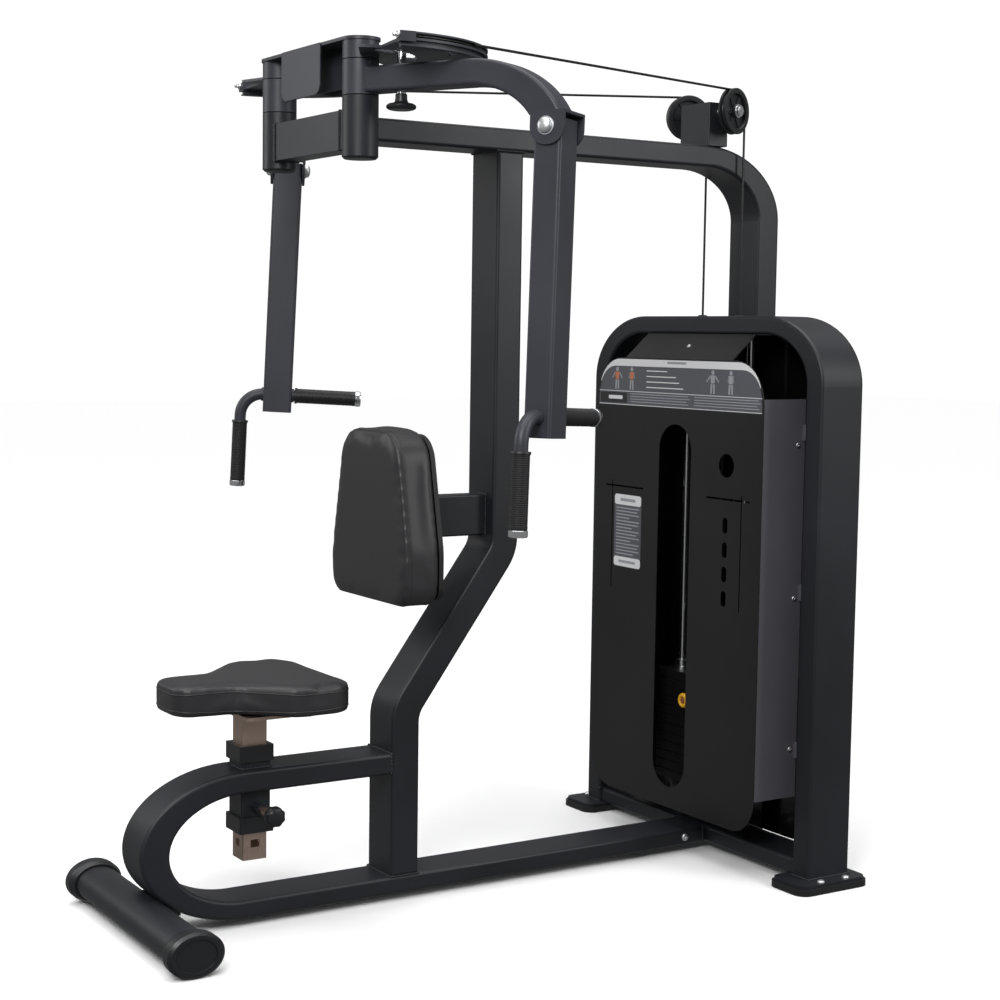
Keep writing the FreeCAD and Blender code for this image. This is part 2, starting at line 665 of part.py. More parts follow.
def make_hinge_bolt():
    """Bolt through the ears, with a domed head and a nut on its longer rear end."""
    face = BAR_BREADTH / 2 + 1 + EAR
    bolt = across_bar(-face - 5, face + 26, BAR_BOLT_Z, BOLT_RADIUS)
    bolt = bolt.fuse(across_bar(-face - 9, -face, BAR_BOLT_Z, 15.5))
    bolt = bolt.fuse(across_bar(face, face + 12, BAR_BOLT_Z, 15.5))
    return to_arm(leaned(bolt.removeSplitter()))


def handle_route():
    y = BAR_SHIFT - GRIP_OFFSET
    bend = 58.0
    low = 938.0
    start = V(BAR_RADIUS, BAR_SHIFT - 30, HANDLE_Z)
    a = V(BAR_RADIUS, y + bend, HANDLE_Z)
    middle = V(BAR_RADIUS, y + bend - bend * math.sin(math.pi / 4),
               HANDLE_Z - bend + bend * math.cos(math.pi / 4))
    b = V(BAR_RADIUS, y, HANDLE_Z - bend)
    stop = V(BAR_RADIUS, y, low)
    return [Part.LineSegment(start, a).toShape(), Part.Arc(a, middle, b).toShape(),
            Part.LineSegment(b, stop).toShape()]


def make_bar():
    """Hanging bar with the bent tube for the upright grip and the straight one."""
    x0, x1 = BAR_RADIUS - BAR_DEPTH / 2, BAR_RADIUS + BAR_DEPTH / 2
    half = BAR_BREADTH / 2
    y0, y1 = BAR_SHIFT - half, BAR_SHIFT + half
    bar = box(x0, x1, y0, y1, BAR_BOTTOM, BAR_TOP)
    bar = bar.makeFillet(7, [e for e in bar.Edges if e.Length > 300])
    bar = bar.cut(box(x0 + WALL, x1 - WALL, y0 + WALL, y1 - WALL, BAR_BOTTOM + WALL, BAR_TOP - WALL))
    bar = bar.fuse(swept(handle_route(), HANDLE_TUBE))
    bar = bar.fuse(across_bar(half - 5, LEVEL_GRIP_END + 12, HANDLE_Z, HANDLE_TUBE))
    bar = bar.fuse(across_bar(half - 1, half + 6, HANDLE_Z, HANDLE_TUBE + 3))
    bar = bar.fuse(across_bar(-half - 6, 1 - half, HANDLE_Z, HANDLE_TUBE + 3))
    bar = bar.fuse(across_bar(LEVEL_GRIP_END + 1, LEVEL_GRIP_END + 13, HANDLE_Z, GRIP_RADIUS - 1))
    y = BAR_SHIFT - GRIP_OFFSET
    bar = bar.fuse(rod((BAR_RADIUS, y, 937), (BAR_RADIUS, y, 949), GRIP_RADIUS - 1))
    bar = bar.cut(across_bar(-60, 60, BAR_BOLT_Z, BOLT_RADIUS + FIT))
    return to_arm(leaned(bar.removeSplitter()))


def make_grip(kind):
    """Rubber sleeve on the handle tube."""
    if kind == "upright":
        start = (BAR_RADIUS, BAR_SHIFT - GRIP_OFFSET, 950)
        end = (BAR_RADIUS, BAR_SHIFT - GRIP_OFFSET, 1112)
    else:
        start = (BAR_RADIUS, BAR_SHIFT + BAR_BREADTH / 2 + 7, HANDLE_Z)
        end = (BAR_RADIUS, BAR_SHIFT + LEVEL_GRIP_END, HANDLE_Z)
    grip = rod(start, end, GRIP_RADIUS).cut(rod(start, end, HANDLE_TUBE + FIT))
    return to_arm(leaned(grip))


def make_pull_pin():
    """Index plunger with the mushroom knob below the arm."""
    x = INDEX_RADIUS
    pin = rod((x, 0, 1841), (x, 0, 1970), BOLT_RADIUS)
    stem = rod((x, 0, 1839), (x, 0, 1862), 13)
    dome = Part.makeSphere(60, V(x, 0, 1886), V(0, 0, 1))
    cap = rod((x, 0, 1827), (x, 0, 1841), 33).common(dome)
    return to_arm(pin.fuse(stem).fuse(cap).removeSplitter())


def make_cam():
    """Quadrant plate with a double-groove rim, crescents and the index track."""
    z0 = CAM_PLATE_Z
    z1 = CAM_PLATE_Z + CAM_PLATE
    plate = sector(CAM_RADIUS - 12, CAM_START, CAM_END, z0, z1)
    plate = plate.fuse(sector(140, -30, CAM_END - 8, z0, z1))
    plate = plate.cut(sector(INDEX_RADIUS + 12.5, -12, 80, z0 - 1, z1 + 1, INDEX_RADIUS - 12.5))
    for step in range(12):
        angle = math.radians(-6 + 7.5 * step)
        x = PIVOT_X + (INDEX_RADIUS + 13) * math.cos(angle)
        y = PIVOT_Y + (INDEX_RADIUS + 13) * math.sin(angle)
        plate = plate.cut(rod((x, y, z0 - 1), (x, y, z1 + 1), 5.5))
    for a0, a1 in ((8, 48), (64, 104)):
        plate = plate.cut(crescent(a0, a1, z0, z1))
    rim = sector(CAM_RADIUS, CAM_START, CAM_END, CAM_BOTTOM, CAM_TOP, CAM_RADIUS - 20)
    for z in (CABLE_Z, CABLE_Z - 14):
        rim = rim.cut(sector(CAM_RADIUS + 5, CAM_START - 1, CAM_END + 1, z - 4.5, z + 4.5, CAM_RADIUS - 10.1))
    cam = plate.fuse(rim)
    anchor = sector(CAM_RADIUS + 3, CAM_START - 1, CAM_START + 6, CAM_BOTTOM + 9, CAM_TOP, CAM_RADIUS - 24)
    cam = cam.fuse(anchor)
    cam = cam.fuse(rod((PIVOT_X, PIVOT_Y, SLEEVE_TOP + 2), (PIVOT_X, PIVOT_Y, HUB_TOP), PIVOT_RADIUS))
    bore = rod((PIVOT_X, PIVOT_Y, 1900), (PIVOT_X, PIVOT_Y, 2000), SHAFT_RADIUS + FIT)
    return cam.cut(bore).removeSplitter()


def crescent(a0, a1, z0, z1):
    """Crescent hole: a wide arc cut off by a flatter one, both through the same tips."""
    middle = math.radians((a0 + a1) / 2)
    tips = []
    for a in (a0, a1):
        tips.append((PIVOT_X + 196 * math.cos(math.radians(a)), PIVOT_Y + 196 * math.sin(math.radians(a))))
    bows = []
    for radius in (240, 202):
        bows.append((PIVOT_X + radius * math.cos(middle), PIVOT_Y + radius * math.sin(middle)))
    first = V(tips[0][0], tips[0][1], z0 - 1)
    last = V(tips[1][0], tips[1][1], z0 - 1)
    outer = Part.Arc(first, V(bows[0][0], bows[0][1], z0 - 1), last).toShape()
    inner = Part.Arc(last, V(bows[1][0], bows[1][1], z0 - 1), first).toShape()
    return Part.Face(Part.Wire([outer, inner])).extrude(V(0, 0, z1 - z0 + 2))


# ---- cables and pulleys (right side) ---------------------------------------------
def cable_tangent():
    """Where the cable leaves the right cam, and the level direction towards the pulley."""
    dx = PULLEY_X - PIVOT_X
    dy = PULLEY_Y - PIVOT_Y
    reach = math.hypot(dx, dy)
    angle = math.atan2(dy, dx) - math.acos(CABLE_WRAP / reach)
    x = PIVOT_X + CABLE_WRAP * math.cos(angle)
    y = PIVOT_Y + CABLE_WRAP * math.sin(angle)
    run = math.hypot(PULLEY_X - x, PULLEY_Y - y)
    return x, y, (PULLEY_X - x) / run, (PULLEY_Y - y) / run, run


def cable_drop_place():
    x, y, ux, uy, run = cable_tangent()
    return PULLEY_X + ux * PULLEY_WRAP, PULLEY_Y + uy * PULLEY_WRAP


def make_cable_run():
    """Straight run from the cam over the pulley, to the pulley's own height."""
    x, y, ux, uy, run = cable_tangent()
    rise = (PULLEY_WRAP + PULLEY_Z - CABLE_Z) / run
    skip = 62.0

    def at(s, z):
        return V(x + ux * s, y + uy * s, z)

    tilt = math.atan(rise)
    top = at(run - PULLEY_WRAP * math.sin(tilt), PULLEY_Z + PULLEY_WRAP * math.cos(tilt))
    start = at(skip, CABLE_Z + rise * skip)
    half = (math.pi / 2 + tilt) / 2
    middle = at(run + PULLEY_WRAP * math.cos(half), PULLEY_Z + PULLEY_WRAP * math.sin(half))
    stop = at(run + PULLEY_WRAP, PULLEY_Z)
    edges = [Part.LineSegment(start, top).toShape(), Part.Arc(top, middle, stop).toShape()]
    return swept(edges, CABLE_RADIUS)


def make_cable_drop():
    x, y = cable_drop_place()
    return rod((x, y, YOKE_Z + 20), (x, y, PULLEY_Z), CABLE_RADIUS)


def make_cable_wrap():
    """Cable lying in the cam groove: it turns with the cam."""
    a0 = math.radians(CAM_START + 7)
    a1 = math.radians(CAM_END - 1)
    points = []
    for a in (a0, (a0 + a1) / 2, a1):
        points.append(V(PIVOT_X + CABLE_WRAP * math.cos(a), PIVOT_Y + CABLE_WRAP * math.sin(a), CABLE_Z))
    return swept([Part.Arc(*points).toShape()], CABLE_RADIUS)


def pulley_axis():
    x, y, ux, uy, run = cable_tangent()
    return V(-uy, ux, 0) if -uy > 0 else V(uy, -ux, 0)


def make_pulley():
    axis = pulley_axis()
    centre = V(PULLEY_X, PULLEY_Y, PULLEY_Z)
    start = centre - axis * (PULLEY_WIDTH / 2)
    wheel = Part.makeCylinder(PULLEY_RADIUS, PULLEY_WIDTH, start, axis)
    groove = Part.makeCylinder(PULLEY_RADIUS + 5, 9, centre - axis * 4.5, axis)
    groove = groove.cut(Part.makeCylinder(PULLEY_WRAP - CABLE_RADIUS - 0.3, 9, centre - axis * 4.5, axis))
    wheel = wheel.cut(groove)
    for side in (-1, 1):
        base = centre + axis * (side * (PULLEY_WIDTH / 2 + 1))
        dish = Part.makeCylinder(36, 8, base, axis * -side)
        dish = dish.cut(Part.makeCylinder(16, 8, base, axis * -side))
        wheel = wheel.cut(dish)
    bore = Part.makeCylinder(8 + FIT, 60, centre - axis * 30, axis)
    return wheel.cut(bore)


def make_pulley_bracket():
    low = BEAM_BOTTOM + BEAM_THICK
    shell = box(-60, 60, -36, 27, low, 1949)
    shell = shell.makeFillet(5, [e for e in shell.Edges if e.Length > 100 and e.BoundBox.XLength < 0.1])
    shell = shell.cut(box(-56, 56, -32, 23, low - 1, 1945))
    slot = box(-70, 70, 24, 40, low + 30, 1930)
    return shell.cut(slot)


def make_pulley_axle():
    axis = pulley_axis()
    centre = V(PULLEY_X, PULLEY_Y, PULLEY_Z)
    boss = Part.makeCylinder(14, 70, centre - axis * 84, axis)
    boss = boss.common(box(60, 200, -100, 100, 1800, 2000))
    pin = Part.makeCylinder(8, 40, centre - axis * 22, axis)
    cap = Part.makeCylinder(14, 7, centre + axis * (PULLEY_WIDTH / 2 + 1), axis)
    return boss.fuse(pin).fuse(cap).removeSplitter()


# ---- seat and back support --------------------------------------------------------
def square_tube(size, hole, y, z0, z1):
    h = size / 2
    g = hole / 2
    body = box(-h, h, y - h, y + h, z0, z1)
    body = body.makeFillet(4, [e for e in body.Edges if abs(e.BoundBox.ZLength - (z1 - z0)) < 0.01])
    return body.cut(box(-g, g, y - g, y + g, z0 - 1, z1 + 1))


def make_receiver():
    body = square_tube(RECEIVER_SIZE, POST_SIZE + 1, SEAT_Y, RECEIVER_BOTTOM, RECEIVER_TOP)
    boss = rod((RECEIVER_SIZE / 2 - 2, SEAT_Y, SEAT_PIN_Z), (70, SEAT_Y, SEAT_PIN_Z), 13)
    body = body.fuse(boss)
    return body.cut(rod((20, SEAT_Y, SEAT_PIN_Z), (80, SEAT_Y, SEAT_PIN_Z), 7 + FIT)).removeSplitter()


def make_bushes():
    """Plastic guide bushes above and below the receiver."""
    hole = POST_SIZE + 0.6
    top = square_tube(BUSH_SIZE, hole, SEAT_Y, RECEIVER_TOP, RECEIVER_TOP + BUSH_HEIGHT)
    low = square_tube(BUSH_SIZE, hole, SEAT_Y, RECEIVER_BOTTOM - BUSH_HEIGHT, RECEIVER_BOTTOM)
    return Part.makeCompound([top, low])


def make_seat_post():
    post = square_tube(POST_SIZE, POST_SIZE - 8, SEAT_Y, POST_BOTTOM, SEAT_BOTTOM - 8)
    pitch = 43.0
    for step in range(-2, 4):
        z = SEAT_PIN_Z + pitch * step
        post = post.cut(box(-40, 40, SEAT_Y - 11, SEAT_Y + 11, z - 9, z + 9))
        post = post.cut(box(-11, 11, SEAT_Y - 40, SEAT_Y + 40, z - 9, z + 9))
    plate = box(-120, 120, SEAT_Y - 60, SEAT_Y + 120, SEAT_BOTTOM - 8, SEAT_BOTTOM - 0.5)
    return post.fuse(plate).removeSplitter()


def make_seat_knob():
    """Spring pin, its tip at the face of the post, with its round knob."""
    pin = rod((31, SEAT_Y, SEAT_PIN_Z), (120, SEAT_Y, SEAT_PIN_Z), 7)
    stem = rod((72, SEAT_Y, SEAT_PIN_Z), (125, SEAT_Y, SEAT_PIN_Z), 11)
    knob = rod((120, SEAT_Y, SEAT_PIN_Z), (150, SEAT_Y, SEAT_PIN_Z), 24)
    knob = knob.makeFillet(8, knob.Edges)
    return pin.fuse(stem).fuse(knob).removeSplitter()


def make_seat_pad():
    """Violin-shaped pad: narrow nose towards -Y, wide behind."""
    outline = [(-80, -1492), (80, -1492), (92, -1356), (198, -1248), (192, -1097), (-192, -1097),
               (-198, -1248), (-92, -1356)]
    radii = [48, 48, 70, 55, 60, 60, 55, 70]
    pad = rounded_plate(outline, radii, lambda p: V(p.x, p.y, SEAT_BOTTOM), V(0, 0, SEAT_TOP - SEAT_BOTTOM))
    return pad


def back_outline(shrink):
    g = shrink
    return [(-190 + g, BACK_BOTTOM + g), (190 - g, BACK_BOTTOM + g), (190 - g, 850),
            (134 - g, BACK_TOP - g), (-134 + g, BACK_TOP - g), (-190 + g, 850)]


def make_back_pad():
    radii = [46, 46, 160, 84, 84, 160]
    return rounded_plate(back_outline(0), radii, in_xz(BACK_FRONT), V(0, BACK_REAR - BACK_FRONT, 0))


def make_back_board():
    radii = [32, 32, 160, 70, 70, 160]
    return rounded_plate(back_outline(14), radii, in_xz(BACK_REAR + 0.3), V(0, 12, 0))


def make_back_bracket():
    y0 = BACK_REAR + 12.3
    y1 = UPRIGHT_HIGH_Y - UPRIGHT_THICK / 2
    body = box(-25, 25, y0, y1, 865, 965)
    body = body.makeFillet(5, [e for e in body.Edges if e.BoundBox.YLength > 100])
    return body.cut(box(-22, 22, y0 + WALL, y1 - WALL, 868, 962))


def main():
    save("loop_frame", make_loop_frame())
    save("upright", make_upright())
    save("top_beam", make_top_beam())
    save("front_tube", make_front_tube())
    save("cross_beam", make_cross_beam())
    save("arch_frame", make_arch())
    save("shroud_front", make_shroud())
    save("rear_panel", make_rear_panel())
    save("guide_rods", make_guide_rods())
    save("stack_feet", make_stack_feet())
    save("parked_plates", plates(0, PARKED_PLATES))
    save("lifted_plates", plates(PARKED_PLATES, LIFTED_PLATES))
    save("selector_rod", make_selector())
    save("selector_pin", make_selector_pin())
    save("head_beam", make_head_beam())
    save("bridge_plate", make_bridge())
    save("head_cover", make_head_cover())
    save("pulley_bracket", make_pulley_bracket())
    save("seat_receiver", make_receiver())
    save("seat_bushes", make_bushes())
    save("seat_post", make_seat_post())
    save("seat_knob", make_seat_knob())
    save("seat_pad", make_seat_pad())
    save("back_pad", make_back_pad())
    save("back_board", make_back_board())
    save("back_bracket", make_back_bracket())
    for name, side in (("right", 1), ("left", -1)):
        save("front_cap_" + name, make_front_cap(side))
        save("foot_plate_" + name, make_foot(side, PAD_THICK, FOOT_TOP, 0, 26))
        save("foot_pad_" + name, make_foot(side, 0, PAD_THICK, 6, 32))
        save("side_panel_" + name, make_side_panel(side))
        save("pivot_" + name, make_pivot(side))
    cam = make_cam()
    wrap = make_cable_wrap()
    save("cam_right", cam)
    save("cable_wrap_right", wrap)
    save("cam_left", mirrored(spun(cam, CAM_LEFT_TURN, PIVOT_X, PIVOT_Y)))
    save("cable_wrap_left", mirrored(spun(wrap, CAM_LEFT_TURN, PIVOT_X, PIVOT_Y)))
    pairs = [("arm", make_arm()), ("hinge_bolt", make_hinge_bolt()), ("bar", make_bar()),
             ("grip_upright", make_grip("upright")), ("grip_level", make_grip("level")),
             ("pull_pin", make_pull_pin()), ("pulley", make_pulley()), ("pulley_axle", make_pulley_axle()),
             ("cable_run", make_cable_run()), ("cable_drop", make_cable_drop())]
    for name, shape in pairs:
        save(name + "_right", shape)
        save(name + "_left", mirrored(shape))


main()
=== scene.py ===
import json
import math

import bmesh
import bpy
from mathutils import Matrix, Vector
from mathutils.bvhtree import BVHTree
from mathutils.geometry import tessellate_polygon


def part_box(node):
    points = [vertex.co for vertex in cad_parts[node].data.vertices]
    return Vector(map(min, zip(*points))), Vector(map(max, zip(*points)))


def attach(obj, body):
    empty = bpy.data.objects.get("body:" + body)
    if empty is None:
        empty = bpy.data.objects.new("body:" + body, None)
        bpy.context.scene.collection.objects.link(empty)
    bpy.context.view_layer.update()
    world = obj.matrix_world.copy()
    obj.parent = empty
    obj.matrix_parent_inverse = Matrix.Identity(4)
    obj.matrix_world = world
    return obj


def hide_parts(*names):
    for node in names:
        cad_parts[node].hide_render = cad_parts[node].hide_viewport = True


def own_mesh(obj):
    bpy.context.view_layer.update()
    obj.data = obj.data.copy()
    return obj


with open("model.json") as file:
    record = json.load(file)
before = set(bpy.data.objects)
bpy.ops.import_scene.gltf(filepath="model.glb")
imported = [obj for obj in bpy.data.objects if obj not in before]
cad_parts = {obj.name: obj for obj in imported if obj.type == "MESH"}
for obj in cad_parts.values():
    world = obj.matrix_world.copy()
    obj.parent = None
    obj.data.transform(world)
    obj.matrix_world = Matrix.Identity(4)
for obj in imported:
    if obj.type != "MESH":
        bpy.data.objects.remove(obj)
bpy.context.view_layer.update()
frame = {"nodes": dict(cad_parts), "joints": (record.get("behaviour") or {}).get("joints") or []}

NODES = frame["nodes"]
JOINTS = {joint["name"]: joint for joint in frame["joints"]}
MM = 0.001
ARCH_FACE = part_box("arch_frame")[0][1]     # every piece is placed from the arch's front face


def at(x, y, z):
    """A place in millimetres, Y from the front face of the arch, to the shared frame."""
    return Vector((x * MM, y * MM + ARCH_FACE, z * MM))


def way(x, y, z):
    return Vector((x, y, z)).normalized()


# ---- camera, floor and light ---------------------------------------------------
CAMERA_PLACE = (3818.4, -3013.1, 1348.9)
CAMERA_TURN, CAMERA_DIP, CAMERA_ROLL = 57.83, 5.10, 0.824       # degrees
SENSOR_WIDTH, FOCAL_LENGTH = 36.0, 66.366
FLOOR_REACH = 30.0          # metres from the middle of the floor to its edge
AMBIENT = 0.22              # level of the even white sky that lights the machine
BACKDROP = 1.05             # level of the same sky behind the machine, just past white
SOFTBOXES = (               # name, place, what it faces, width and height in metres, watts
    ("key", (2.9, -3.0, 3.3), (0.1, -0.5, 1.5), (1.6, 1.6), 120),
    ("side", (3.6, 2.6, 2.8), (0.0, 0.2, 1.3), (1.2, 2.6), 70),
    ("fill", (-2.6, -3.2, 2.6), (0.0, -0.6, 1.2), (2.0, 2.0), 40),
)
OVERHEAD_POWER, OVERHEAD_SPREAD = 2.7, 70.0                     # the spread in degrees


def place_camera():
    """A 66 mm lens at chest height, in front and to the side of the machine."""
    turn, look_down = math.radians(CAMERA_TURN), math.radians(CAMERA_DIP)
    roll = math.radians(CAMERA_ROLL)
    ahead = Vector((-math.sin(turn) * math.cos(look_down), math.cos(turn) * math.cos(look_down),
                    -math.sin(look_down)))
    level = Vector((math.cos(turn), math.sin(turn), 0.0))
    over = level.cross(ahead)
    right = math.cos(roll) * level + math.sin(roll) * over
    up = -math.sin(roll) * level + math.cos(roll) * over
    data = bpy.data.cameras.new("view")
    data.sensor_width = SENSOR_WIDTH
    data.lens = FOCAL_LENGTH
    data.clip_end = 2 * FLOOR_REACH
    camera = bpy.data.objects.new("view", data)
    bpy.context.collection.objects.link(camera)
    turned = Matrix((right, up, -ahead)).transposed().to_4x4()
    camera.matrix_world = Matrix.Translation(at(*CAMERA_PLACE)) @ turned
    bpy.context.scene.camera = camera
    bpy.context.scene.view_settings.view_transform = "Standard"


def softbox(name, place, target, size, power):
    """Soft rectangular lamp turned towards a place."""
    data = bpy.data.lights.new(name, "AREA")
    data.shape = "RECTANGLE"
    data.size, data.size_y = size
    data.energy = power
    lamp = bpy.data.objects.new(name, data)
    bpy.context.collection.objects.link(lamp)
    lamp.location = place
    lamp.rotation_euler = (Vector(target) - Vector(place)).to_track_quat("-Z", "Y").to_euler()


def build_studio():
    """Pale floor under an even white sky, three softboxes and one wide soft light from above.

    The floor takes the machine's shadow, but throws no light back on it.
    """
    mesh = bpy.data.meshes.new("studio_floor")
    r = FLOOR_REACH
    mesh.from_pydata([(-r, -r, 0), (r, -r, 0), (r, r, 0), (-r, r, 0)], [], [(0, 1, 2, 3)])
    floor = bpy.data.objects.new("studio_floor", mesh)
    bpy.context.collection.objects.link(floor)
    floor.data.materials.append(FINISH["studio_floor"])
    floor.visible_diffuse = False
    floor.visible_glossy = False
    world = bpy.data.worlds.new("studio")
    bpy.context.scene.world = world
    world.use_nodes = True
    tree = world.node_tree
    back = tree.nodes["Background"]
    back.inputs["Color"].default_value = (1.0, 1.0, 1.0, 1.0)
    seen = add(tree, "ShaderNodeLightPath").outputs["Is Camera Ray"]
    level = add(tree, "ShaderNodeMapRange", {"Value": seen, "To Min": AMBIENT, "To Max": BACKDROP})
    tree.links.new(level.outputs[0], back.inputs["Strength"])
    for name, place, target, size, power in SOFTBOXES:
        softbox(name, place, target, size, power)
    data = bpy.data.lights.new("overhead", "SUN")
    data.energy = OVERHEAD_POWER
    data.angle = math.radians(OVERHEAD_SPREAD)
    lamp = bpy.data.objects.new("overhead", data)
    bpy.context.collection.objects.link(lamp)


# ---- materials -------------------------------------------------------------------
def tone(code):
    """sRGB hex to linear RGBA."""
    values = [int(code[i:i + 2], 16) / 255 for i in (1, 3, 5)]
    return tuple(v / 12.92 if v <= 0.04045 else ((v + 0.055) / 1.055) ** 2.4 for v in values) + (1.0,)


def add(tree, kind, inputs=None, **settings):
    """Adds one node, with its settings, and links or sets its inputs."""
    made = tree.nodes.new(kind)
    for key, value in settings.items():
        setattr(made, key, value)
    for key, value in (inputs or {}).items():
        if isinstance(value, bpy.types.NodeSocket):
            tree.links.new(value, made.inputs[key])
        else:
            made.inputs[key].default_value = value
    return made


def new_finish(name, **shader):
    """Material with values on its shader's own sockets: gives it, its tree, shader and place."""
    made = bpy.data.materials.new(name)
    made.use_nodes = True
    tree = made.node_tree
    body = tree.nodes["Principled BSDF"]
    for key, value in shader.items():
        body.inputs[key.replace("_", " ")].default_value = value
    place = add(tree, "ShaderNodeTexCoord").outputs["Object"]
    return made, tree, body, place


def powder_coat(name, dark, light, rough, peel_mm, depth_mm):
    """Polyester powder coat: a fine orange peel, with a soft drift in tone and gloss."""
    made, tree, body, place = new_finish(name, Roughness=rough, IOR=1.5, Specular_IOR_Level=0.4)
    drift = add(tree, "ShaderNodeTexNoise", {"Vector": place, "Scale": 3.0, "Detail": 3.0}).outputs["Fac"]
    speck = add(tree, "ShaderNodeTexNoise", {"Vector": place, "Scale": 1000 / peel_mm, "Detail": 2.0})
    mixed = add(tree, "ShaderNodeMath", {0: drift, 1: speck.outputs["Fac"]}, operation="MULTIPLY")
    ramp = add(tree, "ShaderNodeMapRange", {"Value": mixed.outputs[0], "From Min": 0.12, "From Max": 0.42})
    colour = add(tree, "ShaderNodeMix", {"Factor": ramp.outputs[0], "A": tone(dark), "B": tone(light)},
                 data_type="RGBA")
    bump = add(tree, "ShaderNodeBump", {"Height": speck.outputs["Fac"], "Distance": depth_mm * MM,
                                        "Strength": 0.6})
    gloss = add(tree, "ShaderNodeMapRange", {"Value": drift, "From Min": 0.3, "From Max": 0.7,
                                             "To Min": rough - 0.05, "To Max": rough + 0.07})
    tree.links.new(colour.outputs["Result"], body.inputs["Base Color"])
    tree.links.new(bump.outputs[0], body.inputs["Normal"])
    tree.links.new(gloss.outputs[0], body.inputs["Roughness"])
    return made


def metal(name, dark, light, rough, streak, scale_mm):
    """Bare or plated steel with a faint turned or brushed streak."""
    made, tree, body, place = new_finish(name, Metallic=1.0)
    size = 1000 / scale_mm
    stretched = add(tree, "ShaderNodeMapping", {"Vector": place, "Scale": [size * s for s in streak]})
    grain = add(tree, "ShaderNodeTexNoise", {"Vector": stretched.outputs[0], "Scale": 1.0, "Detail": 3.0})
    colour = add(tree, "ShaderNodeMix", {"Factor": grain.outputs["Fac"], "A": tone(dark), "B": tone(light)},
                 data_type="RGBA")
    gloss = add(tree, "ShaderNodeMapRange", {"Value": grain.outputs["Fac"], "From Min": 0.3, "From Max": 0.7,
                                             "To Min": rough * 0.7, "To Max": rough * 1.4})
    tree.links.new(colour.outputs["Result"], body.inputs["Base Color"])
    tree.links.new(gloss.outputs[0], body.inputs["Roughness"])
    return made


def moulded(name, colour_code, rough, grain_mm, depth_mm):
    """Moulded plastic or rubber: one dye through and a fine spark-eroded grain."""
    made, tree, body, place = new_finish(name, Base_Color=tone(colour_code), Roughness=rough, IOR=1.46)
    grain = add(tree, "ShaderNodeTexVoronoi", {"Vector": place, "Scale": 1000 / grain_mm})
    bump = add(tree, "ShaderNodeBump", {"Height": grain.outputs["Distance"], "Distance": depth_mm * MM,
                                        "Strength": 0.5})
    tree.links.new(bump.outputs[0], body.inputs["Normal"])
    return made


def make_finishes():
    """Sizes are in mm: orange peel or grain and its depth, or the width of a metal's streaks."""
    made = {}
    made["studio_floor"] = new_finish("studio_floor", Base_Color=(0.95, 0.95, 0.95, 1), Roughness=0.9)[0]
    made["frame"] = powder_coat("powder_coat_black", "#191b1f", "#23252a", 0.42, 0.9, 0.05)
    made["arm"] = powder_coat("powder_coat_charcoal", "#2e3036", "#3b3e45", 0.42, 0.9, 0.05)
    made["shroud"] = powder_coat("powder_coat_smooth_black", "#151515", "#1c1c1c", 0.4, 0.7, 0.03)
    made["side"] = powder_coat("powder_coat_grey", "#55545a", "#605f66", 0.45, 0.7, 0.03)
    made["gloss"] = powder_coat("gloss_black_sheet", "#0a0a0b", "#0e0e0f", 0.12, 2.0, 0.01)
    made["chrome"] = metal("chromed_steel", "#dcdee0", "#f0f1f2", 0.2, (1, 1, 1), 2.0)
    made["zinc"] = metal("zinc_plated_steel", "#b09a8e", "#d2bcac", 0.4, (1, 1, 0.06), 1.2)
    made["iron"] = powder_coat("enamelled_iron", "#161617", "#1e1e20", 0.3, 1.6, 0.08)
    made["plastic"] = moulded("moulded_nylon", "#1c1d1f", 0.38, 0.6, 0.03)
    made["yellow"] = moulded("moulded_yellow_abs", "#e0a91c", 0.3, 0.6, 0.01)
    made["rubber"] = moulded("moulded_rubber", "#1d1d1f", 0.45, 0.9, 0.06)
    made["cable"] = moulded("nylon_coated_rope", "#101011", 0.35, 0.9, 0.05)
    made["board"] = moulded("painted_plywood", "#141414", 0.55, 1.5, 0.05)
    made["zinc_bright"] = metal("bright_zinc_screws", "#c8cacc", "#e6e8ea", 0.42, (1, 1, 1), 1.5)
    made["brown"] = moulded("moulded_red_brown", "#8c4a2e", 0.4, 0.6, 0.01)
    made["strip_red"] = moulded("red_strip", "#6a1218", 0.45, 0.6, 0.01)
    made["print_field"] = moulded("print_grey_field", "#5b5c62", 0.5, 0.8, 0.01)
    made["print_white"] = moulded("print_white", "#e8e8ea", 0.5, 0.8, 0.01)
    made["print_grey"] = moulded("print_light_grey", "#a2a3a8", 0.5, 0.8, 0.01)
    made["print_orange"] = moulded("print_orange", "#c47a55", 0.5, 0.8, 0.01)
    made["print_dark"] = moulded("print_dark", "#2a2a2c", 0.5, 0.8, 0.01)
    made["hide"] = moulded("pvc_leatherette", "#2a2a2c", 0.42, 1.4, 0.12)
    return made


FINISH = make_finishes()

NODE_FINISH = {
    "frame": "loop_frame upright top_beam front_tube cross_beam arch_frame head_beam pulley_bracket"
             " seat_receiver back_bracket foot_plate_right foot_plate_left pivot_right pivot_left",
    "arm": "arm_right arm_left bar_right bar_left bridge_plate head_cover cam_right cam_left",
    "shroud": "shroud_front",
    "side": "side_panel_right side_panel_left",
    "gloss": "rear_panel",
    "chrome": "guide_rods hinge_bolt_right hinge_bolt_left selector_rod pulley_axle_right"
              " pulley_axle_left",
    "zinc": "seat_post",
    "iron": "parked_plates lifted_plates",
    "plastic": "seat_bushes seat_knob front_cap_right front_cap_left pull_pin_right pull_pin_left"
               " pulley_right pulley_left",
    "yellow": "selector_pin",
    "rubber": "foot_pad_right foot_pad_left stack_feet grip_upright_right grip_upright_left"
              " grip_level_right grip_level_left",
    "hide": "seat_pad back_pad",
    "board": "back_board",
    "cable": "cable_run_right cable_run_left cable_drop_right cable_drop_left cable_wrap_right"
             " cable_wrap_left",
}


